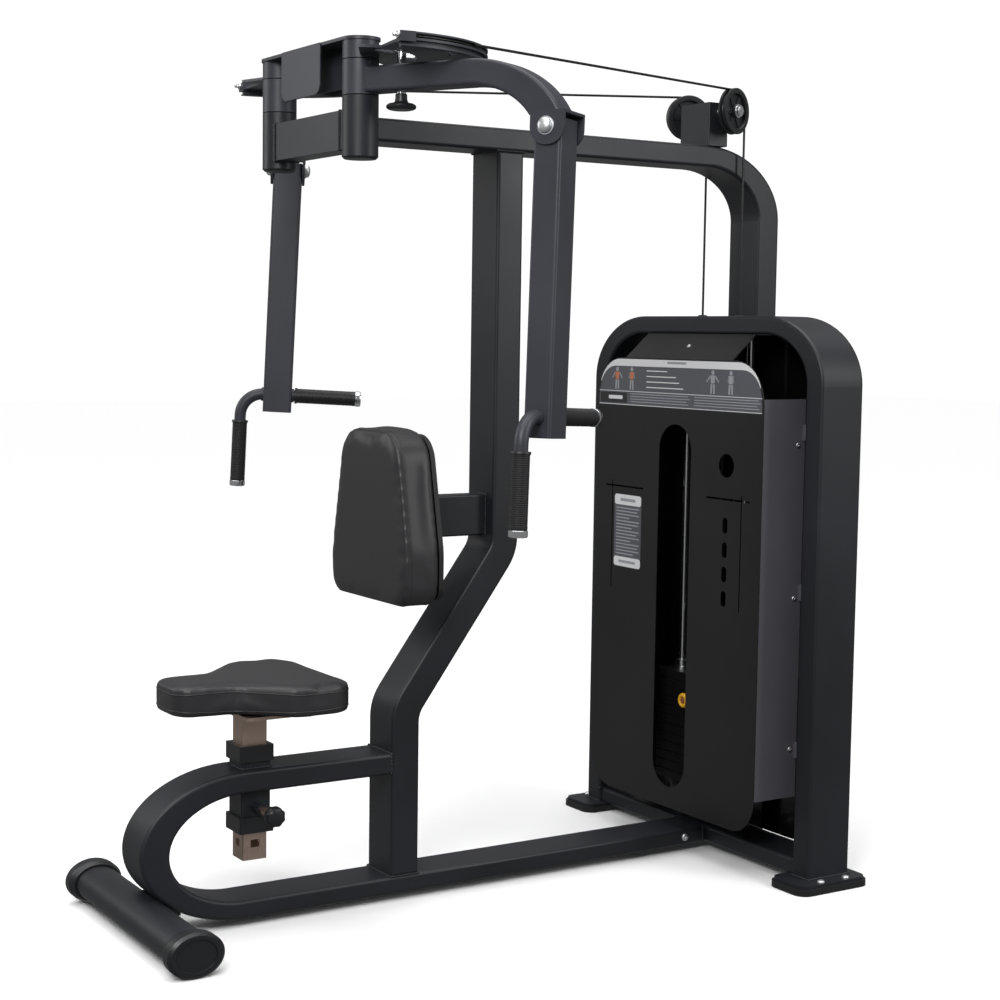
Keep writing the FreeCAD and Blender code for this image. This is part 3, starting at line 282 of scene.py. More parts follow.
def paint_nodes():
    """Gives every CAD node the finish of its material."""
    for finish, names in NODE_FINISH.items():
        for name in names.split():
            slots = NODES[name].material_slots
            if not slots:
                NODES[name].data.materials.append(FINISH[finish])
            for held in slots:
                held.material = FINISH[finish]


# ---- mesh helpers ------------------------------------------------------------------
def keep(name, shape, finishes, body, slot, *nodes, crease=35):
    """Turns a finished shape into a piece that rides on its body."""
    mesh = bpy.data.meshes.new(name)
    shape.to_mesh(mesh)
    shape.free()
    return keep_mesh(name, mesh, finishes, body, slot, *nodes, crease=crease)


def keep_mesh(name, mesh, finishes, body, slot, *nodes, crease=35):
    """The same for a mesh: edges sharper than the crease, in degrees, stay sharp."""
    names = finishes.split()
    if len(mesh.materials) != len(names):
        for finish in names:
            mesh.materials.append(FINISH[finish])
    mesh.shade_smooth()
    mesh.set_sharp_from_angle(angle=math.radians(crease))
    piece = bpy.data.objects.new(name, mesh)
    bpy.context.collection.objects.link(piece)
    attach(piece, body)
    if nodes:
        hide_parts(*nodes)
    return piece


def square_to(axis):
    """Two directions square to an axis, right-handed with it."""
    across = Vector((0, 0, 1)) if abs(axis.z) < 0.9 else Vector((1, 0, 0))
    first = axis.cross(across).normalized()
    return first, axis.cross(first)


def lathe(shape, profile, centre, axis, sides=32, finish=0):
    """Turned part: a closed profile of (along, radius) in mm round an axis; radius 0 closes it."""
    first, second = square_to(axis)
    rings = []
    for along, radius in profile:
        middle = centre + axis * along * MM
        if radius == 0:
            rings.append([shape.verts.new(middle)])
            continue
        ring = []
        for k in range(sides):
            turn = 2 * math.pi * k / sides
            out = first * math.cos(turn) + second * math.sin(turn)
            ring.append(shape.verts.new(middle + out * radius * MM))
        rings.append(ring)
    pairs = list(zip(rings, rings[1:]))
    if profile[0][1] > 0:
        pairs.append((rings[-1], rings[0]))
    made = []
    for low, high in pairs:
        for k in range(sides):
            n = (k + 1) % sides
            corners = [low[k % len(low)], low[n % len(low)], high[n % len(high)], high[k % len(high)]]
            corners = list(dict.fromkeys(corners))
            if len(corners) > 2:
                made.append(shape.faces.new(corners))
    for face in made:
        face.material_index = finish
    bmesh.ops.recalc_face_normals(shape, faces=made)
    return made


def prism(shape, outline, depth, finish=0):
    """Closed slab: an outline of places in the shared frame, pushed along a depth vector."""
    low = [shape.verts.new(p) for p in outline]
    high = [shape.verts.new(p + depth) for p in outline]
    made = []
    for a, b, c in tessellate_polygon([outline]):
        made.append(shape.faces.new((low[a], low[b], low[c])))
        made.append(shape.faces.new((high[c], high[b], high[a])))
    for k in range(len(outline)):
        n = (k + 1) % len(outline)
        made.append(shape.faces.new((low[k], low[n], high[n], high[k])))
    for face in made:
        face.material_index = finish
    bmesh.ops.recalc_face_normals(shape, faces=made)


def rounded(points, radii, steps=10):
    """Corners of a flat outline, in mm, rounded with arcs."""
    made = []
    count = len(points)
    for k in range(count):
        before, here, after = (Vector(points[i % count]) for i in (k - 1, k, k + 1))
        back, on = (before - here).normalized(), (after - here).normalized()
        if radii[k] == 0:
            made.append(here)
            continue
        half = math.acos(max(-1.0, min(1.0, back.dot(on)))) / 2
        inset = radii[k] / math.tan(half)
        centre = here + (back + on).normalized() * radii[k] / math.sin(half)
        start, stop = here + back * inset - centre, here + on * inset - centre
        sweep = start.angle_signed(stop)
        for i in range(steps + 1):
            turn = -sweep * i / steps
            made.append(centre + Matrix.Rotation(turn, 2) @ start)
    return made


def stadium(x0, x1, z0, z1, radius):
    """Outline of a rectangle with round corners."""
    return rounded([(x0, z0), (x1, z0), (x1, z1), (x0, z1)], [radius] * 4, 5)


def tube_round(shape, points, radius, sides=8):
    """Round welt through a closed line of places."""
    rings = []
    count = len(points)
    for k, point in enumerate(points):
        first, second = square_to((points[(k + 1) % count] - points[k - 1]).normalized())
        ring = []
        for i in range(sides):
            turn = 2 * math.pi * i / sides
            ring.append(shape.verts.new(point + (first * math.cos(turn) + second * math.sin(turn)) * radius))
        rings.append(ring)
    made = []
    for k in range(count):
        low, high = rings[k], rings[(k + 1) % count]
        for i in range(sides):
            n = (i + 1) % sides
            made.append(shape.faces.new((low[i], low[n], high[n], high[i])))
    bmesh.ops.recalc_face_normals(shape, faces=made)


MERGE_DISTANCE = 1e-5       # metres


def node_mesh(name):
    """A CAD node's mesh as one merged shape."""
    shape = bmesh.new()
    shape.from_mesh(NODES[name].data)
    bmesh.ops.remove_doubles(shape, verts=shape.verts, dist=MERGE_DISTANCE)
    return shape


# ---- cushions ----------------------------------------------------------------------
SKIN_VOXEL = 0.006          # metres between the places of a cushion's skin
FILLING_PRESSURE = 4.0
SWELL_STEPS = 20
SWELL_CAP = 0.006           # metres that the filling pushes the hide out, at most
SMOOTH_PASSES = 6
WELT_RADIUS = 0.0016
WELT_STEP = 0.008           # metres between the places that a welt runs through
LOOK_FROM = 0.08            # metres outside the edge, from where a welt's place is looked for
WELT_SUNK = 0.35            # part of its radius that a welt sinks into the hide

# Corners in mm, then their radii: the seat seen from above, the back seen from in front.
SEAT_OUTLINE = ([(-80, -1492), (80, -1492), (92, -1356), (198, -1248), (192, -1097), (-192, -1097),
                 (-198, -1248), (-92, -1356)], [48, 48, 70, 55, 60, 60, 55, 70])
BACK_OUTLINE = ([(-190, 720), (190, 720), (190, 850), (134, 1130), (-134, 1130), (-190, 850)],
                [46, 46, 160, 84, 84, 160])


def evaluated_mesh(worker):
    """What an object's modifiers make of it, as a plain mesh."""
    graph = bpy.context.evaluated_depsgraph_get()
    return bpy.data.meshes.new_from_object(worker.evaluated_get(graph))


def temporary(mesh):
    """Object for a mesh that is still being worked on."""
    worker = bpy.data.objects.new("worker", mesh)
    bpy.context.collection.objects.link(worker)
    return worker


def swell(mesh, board_side):
    """Inflates a closed skin with cloth; what lies on its board stays there."""
    worker = temporary(mesh)
    held = worker.vertex_groups.new(name="on_board")
    start = [v.co.copy() for v in mesh.vertices]
    edge, axis, sign = board_side
    held.add([v.index for v in mesh.vertices if edge <= v.co[axis] * sign], 1.0, "REPLACE")
    cloth = worker.modifiers.new("cloth", "CLOTH")
    cloth.settings.use_pressure = True
    cloth.settings.uniform_pressure_force = FILLING_PRESSURE
    cloth.settings.vertex_group_mass = "on_board"
    cloth.settings.effector_weights.gravity = 0.0
    cloth.point_cache.frame_start, cloth.point_cache.frame_end = 1, SWELL_STEPS
    for step in range(1, SWELL_STEPS + 1):
        bpy.context.scene.frame_set(step)
    grown = evaluated_mesh(worker)
    moves = []
    for index, vertex in enumerate(mesh.vertices):
        out = (grown.vertices[index].co - start[index]).dot(vertex.normal)
        moves.append(start[index] + vertex.normal * max(0.0, min(SWELL_CAP, out)))
    for vertex, place in zip(mesh.vertices, moves):
        vertex.co = place
    bpy.data.objects.remove(worker)
    bpy.data.meshes.remove(grown)
    bpy.context.scene.frame_set(1)
    return mesh


def cushion_skin(node, shrink, board_side):
    """The pad's CAD solid, smaller by the shrink in mm, remeshed, swollen and smoothed."""
    shape = node_mesh(node)
    low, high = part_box(node)
    middle = (Vector(low) + Vector(high)) / 2
    size = Vector(high) - Vector(low)
    for vertex in shape.verts:
        for k in range(3):
            scale = (size[k] - 2 * shrink[k] * MM) / size[k]
            vertex.co[k] = middle[k] + (vertex.co[k] - middle[k]) * scale
    start = bpy.data.meshes.new(node)
    shape.to_mesh(start)
    shape.free()
    worker = temporary(start)
    remesh = worker.modifiers.new("skin", "REMESH")
    remesh.mode, remesh.voxel_size = "VOXEL", SKIN_VOXEL
    skin = evaluated_mesh(worker)
    bpy.data.objects.remove(worker)
    skin = swell(skin, board_side)
    shape = bmesh.new()
    shape.from_mesh(skin)
    for _ in range(SMOOTH_PASSES):
        bmesh.ops.smooth_vert(shape, verts=shape.verts, factor=0.5, use_axis_x=True, use_axis_y=True,
                              use_axis_z=True)
    shape.to_mesh(skin)
    shape.free()
    worker = temporary(skin)
    fine = worker.modifiers.new("fine", "SUBSURF")
    fine.levels = fine.render_levels = 1
    skin = evaluated_mesh(worker)
    bpy.data.objects.remove(worker)
    return skin


def seam(shape, tree, outline, lift):
    """Welt on a cushion's edge: each place is found by looking in at the edge from outside."""
    found = []
    count = len(outline)
    for k in range(count):
        along = (outline[(k + 1) % count] - outline[k - 1]).normalized()
        out = along.cross(lift).normalized()
        look = (out + lift).normalized()
        hit = tree.ray_cast(outline[k] + look * LOOK_FROM, -look)[0]
        if hit is not None:
            found.append(hit - look * WELT_RADIUS * WELT_SUNK)
    tube_round(shape, found, WELT_RADIUS)


def evenly(points, pitch):
    """The same closed line with places a set distance apart."""
    line = points + [points[0]]
    made, left = [], 0.0
    for a, b in zip(line, line[1:]):
        span = (b - a).length
        while left < span:
            made.append(a.lerp(b, left / span))
            left += pitch
        left -= span
    return made


def make_cushions():
    """Filled hide pads with a welt round both edges.

    A pad's board side is told by a level, an axis and which way along it: past that, the hide is held.
    """
    low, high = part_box("seat_pad")
    skin = cushion_skin("seat_pad", (4, 4, 3), (-low[2] - 0.007, 2, -1))
    shape = bmesh.new()
    shape.from_mesh(skin)
    tree = BVHTree.FromBMesh(shape)
    flat = [at(p.x, p.y, 0) for p in rounded(*SEAT_OUTLINE)]
    for level, lift in ((high[2] - 0.012, way(0, 0, 1)), (low[2] + 0.012, way(0, 0, -1))):
        line = [Vector((p.x, p.y, level)) for p in flat]
        seam(shape, tree, evenly(line if lift.z > 0 else line[::-1], WELT_STEP), lift)
    seat = keep("seat_cushion", shape, "hide", "seat", "hide", "seat_pad", crease=180)

    low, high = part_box("back_pad")
    skin = cushion_skin("back_pad", (4, 4, 4), (high[1] - 0.008, 1, 1))
    shape = bmesh.new()
    shape.from_mesh(skin)
    tree = BVHTree.FromBMesh(shape)
    flat = rounded(*BACK_OUTLINE)
    for level, lift in ((low[1] + 0.014, way(0, -1, 0)), (high[1] - 0.012, way(0, 1, 0))):
        line = [Vector((p.x * MM, level, p.y * MM)) for p in flat]
        seam(shape, tree, evenly(line if lift.y < 0 else line[::-1], WELT_STEP), lift)
    back = keep("back_cushion", shape, "hide", "frame", "hide", "back_pad", crease=180)


# ---- handles -----------------------------------------------------------------------
LEAN, ARM_TURN = math.radians(2.45), math.radians(27.0)
PIVOT = (204.0, -1113.0)                # the right arm's pivot
BOLT = (485.0, 8.0, 1773.0)             # the bar's hinge bolt, along and across the arm, and its height
GRIPS = (                               # a grip's two ends, drawn along the arm
    ("upright", (485, -88, 1111), (485, -88, 951)),
    ("level", (485, 53, 1183), (485, 213, 1183)),
)
GRIP_RADIUS, GROOVE_RADIUS, COLLAR_RADIUS = 19.4, 18.7, 21.2
GRIP_BORE = 15.3
RIB_PITCH = 4.5


def on_arm(x, y, z, side, leaned=True):
    """A place drawn along the right arm from its pivot, leaned with the bar, to the machine."""
    if leaned:
        dy, dz = y - BOLT[1], z - BOLT[2]
        y = BOLT[1] + dy * math.cos(-LEAN) - dz * math.sin(-LEAN)
        z = BOLT[2] + dy * math.sin(-LEAN) + dz * math.cos(-LEAN)
    c, s = math.cos(ARM_TURN), math.sin(ARM_TURN)
    return at(side * (PIVOT[0] + x * c - y * s), PIVOT[1] + x * s + y * c, z)


def make_handles(side, word):
    """Ribbed rubber grips, each closed by a chromed cap."""
    bar_body = "bar_" + word
    for kind, near, far in GRIPS:
        start, stop = on_arm(*near, side), on_arm(*far, side)
        axis = (stop - start).normalized()
        length = (stop - start).length / MM
        profile = [(0, GRIP_BORE), (0, 20.4), (1.5, COLLAR_RADIUS), (5, COLLAR_RADIUS), (6.5, GRIP_RADIUS)]
        along = 2 * RIB_PITCH
        while along < length - 2 * RIB_PITCH:
            profile += [(along, GRIP_RADIUS), (along + 0.8, GROOVE_RADIUS), (along + 2.0, GROOVE_RADIUS),
                        (along + 2.8, GRIP_RADIUS)]
            along += RIB_PITCH
        profile += [(length - 5, GRIP_RADIUS), (length, 19.0), (length, GRIP_BORE)]
        shape = bmesh.new()
        lathe(shape, profile, start, axis, 40)
        keep("grip_%s_sleeve_%s" % (kind, word), shape, "rubber", bar_body, "rubber",
             "grip_%s_%s" % (kind, word))
        shape = bmesh.new()
        cap = [(length + 0.3, 0), (length + 0.3, 19.6), (length + 1, 20.3), (length + 12, 20.3),
               (length + 14, 19), (length + 15, 16), (length + 15.4, 8), (length + 15.4, 0)]
        lathe(shape, cap, start, axis, 40)
        keep("grip_%s_cap_%s" % (kind, word), shape, "chrome", bar_body, "chrome")


# ---- pulleys, pins and fittings --------------------------------------------------------
SPOKES = 6
CAM_RADIUS, CAM_GROOVE_LEVEL = 269.0, 1956.0
STUD_TURN = -7.5                        # degrees round the pivot to the cable's anchor block
LEFT_CAM_TURN = 15.0                    # degrees that the left cam stands further back


def make_pulley(side, word):
    """Nylon wheel with a cable groove, six spokes and a bearing hub, on its chromed bolt."""
    spin = JOINTS["pulley_%s_spin" % word]
    axis = Vector(spin["axis"]).normalized() * side         # away from the pulley bracket
    centre = Vector(spin["pos_m"])
    shape = bmesh.new()
    rim = [(-11.5, 46), (-11.5, 56), (-10, 58), (-6, 58), (-4.6, 56.5), (-3.4, 50.5), (-2, 49.6), (2, 49.6),
           (3.4, 50.5), (4.6, 56.5), (6, 58), (10, 58), (11.5, 56), (11.5, 46), (9.5, 44), (-9.5, 44)]
    lathe(shape, rim, centre, axis, 64)
    lathe(shape, [(-2, 15), (-2, 47), (2, 47), (2, 15)], centre, axis, 48)
    lathe(shape, [(-12, 8.2), (-12, 16), (-10.5, 17.5), (10.5, 17.5), (12, 16), (12, 8.2)], centre, axis, 40)
    first, second = square_to(axis)
    for k in range(SPOKES):
        turn = 2 * math.pi * k / SPOKES
        out = first * math.cos(turn) + second * math.sin(turn)
        beside = axis.cross(out)
        outline = []
        for along, half in ((15, -8), (46, -5), (46, 5), (15, 8)):
            outline.append(centre + out * along * MM + beside * half * MM - axis * 5 * MM)
        prism(shape, outline, axis * 10 * MM)
    keep("pulley_wheel_" + word, shape, "plastic", "pulley_" + word, "plastic", "pulley_" + word)

    shape = bmesh.new()
    head = [(13, 0), (13, 16), (15.5, 16), (15.5, 12), (22, 12), (23.5, 10.5), (23.5, 0)]
    lathe(shape, head, centre, axis, 6)
    lathe(shape, [(12.8, 0), (12.8, 17), (14.6, 17), (14.6, 0)], centre, axis, 40)
    keep("pulley_bolt_" + word, shape, "chrome", "frame", "chrome")


def make_index_pin(side, word):
    """Index plunger: turned chromed pin above, moulded mushroom knob below."""
    centre = on_arm(107, 0, 0, side, leaned=False)
    up = way(0, 0, 1)
    shape = bmesh.new()
    knob = [(1827, 0), (1827, 22), (1828.5, 28), (1831, 31.5), (1834.5, 32.8), (1838, 31.5), (1841, 27),
            (1842.5, 18), (1845, 14.5), (1851, 13), (1860, 13), (1862, 11.5), (1862, 0)]
    lathe(shape, knob, centre, up, 48)
    pin = [(1862, 0), (1862, 10), (1965, 10), (1968.5, 8), (1970, 5), (1970, 0)]
    lathe(shape, pin, centre, up, 32, finish=1)
    keep("index_pin_" + word, shape, "plastic chrome", "arm_pin_" + word, "plastic", "pull_pin_" + word)


def make_hinge_washers(side, word):
    """Domed nuts and washers at both ends of the bar's hinge bolt."""
    shape = bmesh.new()
    along, level = BOLT[0], BOLT[2]
    axis = (on_arm(along, 100, level, side) - on_arm(along, 0, level, side)).normalized()
    for face, out in ((-36.2, -1), (52.2, 1)):
        centre = on_arm(along, face, level, side)
        lathe(shape, [(0, 10.2), (0, 19), (2, 19), (2, 10.2)], centre, axis * out, 40)
        dome = [(2, 0), (2, 16.5), (6, 16.5), (9, 15.2), (12, 11.5), (13.5, 6), (14, 0)]
        lathe(shape, dome, centre, axis * out, 40)
    if side > 0:                        # the right bolt is longer and shows its thread
        centre = on_arm(along, 52, level, side)
        thread = [(13, 0)]
        for k in range(8):
            thread += [(13.2 + 1.6 * k, 9.8), (14.0 + 1.6 * k, 9.0)]
        lathe(shape, thread + [(26, 8.6), (26, 0)], centre, axis, 24)
    keep("hinge_nuts_" + word, shape, "zinc_bright", "arm_" + word, "chrome", "hinge_bolt_" + word)


def make_cable_stud(side, word, back_turn):
    """Threaded cable end that passes through the cam's anchor block, with its lock nuts."""
    turn = math.radians(STUD_TURN + back_turn)
    out = way(side * math.cos(turn), math.sin(turn), 0)
    along = way(side * -math.sin(turn), math.cos(turn), 0)
    centre = at(side * PIVOT[0], PIVOT[1], CAM_GROOVE_LEVEL) + out * CAM_RADIUS * MM
    shape = bmesh.new()
    stud = [(-30, 0), (-30, 3.6)]
    for k in range(20):
        stud += [(-29 + 1.4 * k, 4.2), (-28.3 + 1.4 * k, 3.6)]
    lathe(shape, stud + [(6, 3.6), (6, 0)], centre, along, 16)
    for place in (-21, -13):
        lathe(shape, [(place, 3), (place, 8), (place + 5, 8), (place + 5, 3)], centre, along, 6)
    keep("cable_stud_" + word, shape, "chrome", "cam_" + word, "chrome")


def make_cable_drop(side, word):
    """Coated rope from the pulley down to the lifting crossbar, where a swaged end holds it.

    It rides with the stack.
    """
    node = "cable_drop_" + word
    low, high = (Vector(v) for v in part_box(node))
    foot = Vector(((low.x + high.x) / 2, (low.y + high.y) / 2, low.z))
    length = (high.z - low.z) / MM
    up = way(0, 0, 1)
    shape = bmesh.new()
    steps = 48
    profile = [(0, 0)] + [(length * k / steps, 3.0) for k in range(steps + 1)] + [(length, 0)]
    lathe(shape, profile, foot, up, 12)
    rope = keep("cable_rope_" + word, shape, "cable", "stack", "cable", node)
    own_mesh(rope)
    shape = bmesh.new()
    swage = [(0.2, 3.1), (0.2, 6.5), (2, 7.5), (10, 7.5), (12, 5.2), (38, 4.8), (40, 4.0), (40, 3.1)]
    lathe(shape, swage, foot, up, 24)
    keep("cable_swage_" + word, shape, "zinc_bright", "stack", "chrome")


def make_selector():
    """Selector pin: yellow ring with a red-brown button, on a chromed shank."""
    low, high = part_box("selector_pin")
    middle = Vector(((low[0] + high[0]) / 2, low[1], (low[2] + high[2]) / 2))
    shape = bmesh.new()
    back = way(0, 1, 0)
    ring = []
    for k in range(12):
        turn = 2 * math.pi * k / 12
        ring.append((6 + 6 * math.sin(turn), 14 + 6 * math.cos(turn)))
    lathe(shape, ring, middle, back, 48)
    lathe(shape, [(1.5, 0), (1.5, 7), (3, 9), (9, 9), (9, 0)], middle, back, 32, finish=1)
    length = (high[1] - low[1]) / MM
    lathe(shape, [(9, 0), (9, 5.5), (length - 3, 5.5), (length, 3), (length, 0)], middle, back, 24, finish=2)
    keep("selector_ring", shape, "yellow brown chrome", "selector_pin", "knob_yellow", "selector_pin")


SCALLOPS = 8


def make_seat_knob():
    """Scalloped pull knob on its turned stem."""
    low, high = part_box("seat_knob")
    middle = Vector((0, (low[1] + high[1]) / 2, (low[2] + high[2]) / 2))
    axis = way(1, 0, 0)
    shape = bmesh.new()
    end = high[0] / MM
    stem = [(31, 0), (31, 5), (33, 7), (86, 7), (86, 11), (end - 26, 11), (end - 26, 0)]
    lathe(shape, stem, middle, axis, 32, finish=1)
    knob = [(end - 30, 0), (end - 30, 15), (end - 28, 20), (end - 24, 23.2), (end - 8, 23.6),
            (end - 3, 21), (end - 0.6, 15), (end, 0)]
    made = lathe(shape, knob, middle, axis, 64)
    rim = {v for face in made for v in face.verts}
    for vertex in rim:
        out = Vector((0, vertex.co.y - middle.y, vertex.co.z - middle.z))
        if out.length > 17 * MM:
            turn = math.atan2(out.z, out.y)
            vertex.co -= out.normalized() * (0.6 + 0.6 * math.cos(SCALLOPS * turn)) * 1.6 * MM
    keep("seat_pull_knob", shape, "plastic zinc", "seat_pin", "plastic", "seat_knob")


# ---- panel graphics ------------------------------------------------------------------
SHEET_FACE = -75.0
FIELD, WHITE, GREY, ORANGE, DARK = range(5)     # the prints' finishes, in the order they are kept in


def decal(shape, outline, level, finish):
    """Thin printed patch on the front sheet: level counts the layers out from it."""
    places = [at(p[0], SHEET_FACE - 0.1, p[1]) for p in outline]
    thickness = 0.25 + 0.2 * level
    prism(shape, places, Vector((0, -thickness * MM, 0)), finish)


def bars(shape, x0, z_top, widths, pitch, height, level, finish):
    """Rows of plain print, one under another."""
    for k, width in enumerate(widths):
        z = z_top - pitch * k
        decal(shape, stadium(x0, x0 + width, z - height, z, height * 0.4), level, finish)


def figure(shape, x, z, lean, finish, torso_finish):
    """Plain pictogram of a seated body: head, torso, thighs and two forearms."""
    head = [(x + 6 * math.cos(a / 8 * math.pi), z + 27 + 6 * math.sin(a / 8 * math.pi)) for a in range(16)]
    decal(shape, head, 1, finish)
    decal(shape, [(x - 10, z + 20), (x - 7, z), (x + 7, z), (x + 10, z + 20)], 1, torso_finish)
    decal(shape, [(x - 8, z - 2), (x - 9, z - 27), (x - 3, z - 27), (x - 1, z - 2)], 1, finish)
    decal(shape, [(x + 1, z - 2), (x + 3, z - 27), (x + 9, z - 27), (x + 8, z - 2)], 1, finish)
    for out in (-1, 1):
        arm = [(x + out * 11, z + 20), (x + out * (18 + lean), z + 4), (x + out * (15 + lean), z + 2),
               (x + out * 11, z + 14)]
        decal(shape, arm if out < 0 else arm[::-1], 1, finish)


def make_placard():
    """Printed band across the top of the front sheet, and the smaller label at its left."""
    shape = bmesh.new()
    corners = [(-344, 1166), (344, 1166), (344, 1291), (-344, 1291)]
    decal(shape, rounded(corners, [1, 1, 106, 106]), 0, FIELD)
    outer = rounded([(-344, 1196), (344, 1196), (344, 1291), (-344, 1291)], [0, 0, 94, 94], 12)
    inner = rounded([(-343, 1196), (343, 1196), (340, 1272), (-340, 1272)], [0, 0, 74, 74], 12)
    top = [p for p in outer if p.y > 1230]
    under = [p for p in inner if p.y > 1228]
    decal(shape, top + under[::-1], 1, WHITE)
    bars(shape, -344, 1205, [688], 1, 1.6, 1, WHITE)
    bars(shape, -344, 1169, [688], 1, 1.6, 1, WHITE)
    decal(shape, stadium(-338, -216, 1172, 1200, 2), 1, DARK)
    decal(shape, stadium(-300, -236, 1182, 1192, 3), 2, WHITE)
    bars(shape, -200, 1199, [250, 258, 244, 252], 7.0, 2.2, 1, GREY)
    bars(shape, 76, 1199, [256, 262, 250, 258], 7.0, 2.2, 1, GREY)
    for x, lean, torso in ((-262, 6, ORANGE), (-196, -4, ORANGE), (150, 8, GREY), (222, -6, GREY)):
        figure(shape, x, 1236, lean, GREY, torso)
    bars(shape, -130, 1262, [90, 128, 142, 160], 14.5, 2.6, 1, WHITE)
    bars(shape, -40, 1287, [80], 1, 6, 2, GREY)
    keep("placard", shape, "print_field print_white print_grey print_orange print_dark", "frame",
         "sheet_black")

    shape = bmesh.new()
    decal(shape, stadium(-263, -141, 727, 925, 9), 0, FIELD)
    decal(shape, stadium(-262, -142, 896, 924, 8), 1, WHITE)
    decal(shape, stadium(-262, -142, 728, 754, 8), 1, WHITE)
    decal(shape, stadium(-236, -168, 906, 914, 3), 2, GREY)
    decal(shape, stadium(-240, -164, 738, 745, 3), 2, GREY)
    widths = [104, 96, 104, 60, 104, 100, 72, 104, 92, 104, 66, 104, 98, 104, 80]
    bars(shape, -254, 889, widths, 8.9, 3.2, 1, GREY)
    keep("rule_label", shape, "print_field print_white print_grey", "frame", "sheet_black")


# ---- repeated parts made with geometry nodes ---------------------------------------------
def new_tree(name, **inputs):
    """Starts a tree with named inputs; gives it and the sockets that hold their values."""
    tree = bpy.data.node_groups.new(name, "GeometryNodeTree")
    tree.interface.new_socket("Geometry", in_out="INPUT", socket_type="NodeSocketGeometry")
    tree.interface.new_socket("Geometry", in_out="OUTPUT", socket_type="NodeSocketGeometry")
    for label, kind in inputs.items():
        tree.interface.new_socket(label, in_out="INPUT", socket_type="NodeSocket" + kind)
    given = add(tree, "NodeGroupInput")
    return tree, given.outputs


def close_tree(tree, shape, finish):
    """Every tree ends in real geometry with its material set."""
    real = add(tree, "GeometryNodeRealizeInstances", {"Geometry": shape})
    painted = add(tree, "GeometryNodeSetMaterial", {"Geometry": real.outputs[0], "Material": finish})
    add(tree, "NodeGroupOutput", {"Geometry": painted.outputs[0]})


def grow(mesh, tree, **values):
    """Runs a tree on a mesh and gives the plain mesh that comes out."""
    worker = temporary(mesh)
    modifier = worker.modifiers.new("grow", "NODES")
    modifier.node_group = tree
    for item in tree.interface.items_tree:
        if item.in_out == "INPUT" and item.name in values:
            modifier[item.identifier] = values[item.name]
    made = evaluated_mesh(worker)
    bpy.data.objects.remove(worker)
    return made


def weld_tree():
    """A row of overlapping beads, like the scales of a hand-laid weld, along a line."""
    tree, given = new_tree("weld_bead", Pitch="Float", Bead="Float", Seed="Int", Finish="Material")
    line = add(tree, "GeometryNodeMeshToCurve", {"Mesh": given["Geometry"]})
    places = add(tree, "GeometryNodeResampleCurve", {"Curve": line.outputs[0], "Length": given["Pitch"]},
                 mode="LENGTH")
    ball = add(tree, "GeometryNodeMeshIcoSphere", {"Radius": given["Bead"], "Subdivisions": 2})
    size = add(tree, "FunctionNodeRandomValue", {"Min": 0.8, "Max": 1.15, "Seed": given["Seed"]})
    scales = add(tree, "GeometryNodeInstanceOnPoints", {"Points": places.outputs[0],
                                                        "Instance": ball.outputs[0],
                                                        "Scale": size.outputs[1]})
    close_tree(tree, scales.outputs[0], given["Finish"])
    return tree


def screw_tree():
    """One fastener head at every point, turned to face along the point's own direction."""
    tree, given = new_tree("fasteners", Head="Object", Size="Float", Finish="Material")
    head = add(tree, "GeometryNodeObjectInfo", {"Object": given["Head"]})
    facing = add(tree, "GeometryNodeInputNamedAttribute", {"Name": "facing"}, data_type="FLOAT_VECTOR")
    turned = add(tree, "FunctionNodeAlignRotationToVector", {"Vector": facing.outputs[0]}, axis="Z")
    heads = add(tree, "GeometryNodeInstanceOnPoints", {"Points": given["Geometry"],
                                                       "Instance": head.outputs["Geometry"],
                                                       "Rotation": turned.outputs[0],
                                                       "Scale": given["Size"]})
    close_tree(tree, heads.outputs[0], given["Finish"])
    return tree


HEAD_SIDES = 24


def socket_head():
    """Button-head screw of unit radius with a hexagon recess, standing on Z = 0."""
    shape = bmesh.new()
    side = [(0, 1.0), (0.12, 1.0), (0.3, 0.93), (0.44, 0.8), (0.52, 0.62)]
    rings = [shape_ring(shape, z, r, HEAD_SIDES) for z, r in side]
    rings.append(shape_ring(shape, 0.54, 0.42, HEAD_SIDES, 6))
    rings.append(shape_ring(shape, 0.2, 0.40, HEAD_SIDES, 6))
    for low, high in zip(rings, rings[1:]):
        for k in range(HEAD_SIDES):
            n = (k + 1) % HEAD_SIDES
            shape.faces.new((low[k], low[n], high[n], high[k]))
    shape.faces.new(rings[-1])
    shape.faces.new(rings[0][::-1])
    shape.normal_update()
    mesh = bpy.data.meshes.new("socket_head")
    shape.to_mesh(mesh)
    shape.free()
    return temporary(mesh)


def shape_ring(shape, z, radius, count, flats=0):
    """A ring of places, round, or pulled in to a polygon with that many flats."""
    ring = []
    for k in range(count):
        turn = 2 * math.pi * k / count
        reach = radius
        if flats:
            within = (turn + math.pi / flats) % (2 * math.pi / flats) - math.pi / flats
            reach = radius * math.cos(math.pi / flats) / math.cos(within)
        ring.append(shape.verts.new((reach * math.cos(turn), reach * math.sin(turn), z)))
    return ring


def points_mesh(name, places):
    """Loose places, each with the direction that its fastener faces."""
    mesh = bpy.data.meshes.new(name)
    mesh.from_pydata([p for p, _ in places], [], [])
    facing = mesh.attributes.new("facing", "FLOAT_VECTOR", "POINT")
    for k, (_, out) in enumerate(places):
        facing.data[k].vector = out
    return mesh


def lines_mesh(name, lines):
    """Lines of places, joined by edges."""
    mesh = bpy.data.meshes.new(name)
    places, edges = [], []
    for line in lines:
        first = len(places)
        places += line
        edges += [(first + k, first + k + 1) for k in range(len(line) - 1)]
    mesh.from_pydata(places, edges, [])
    return mesh


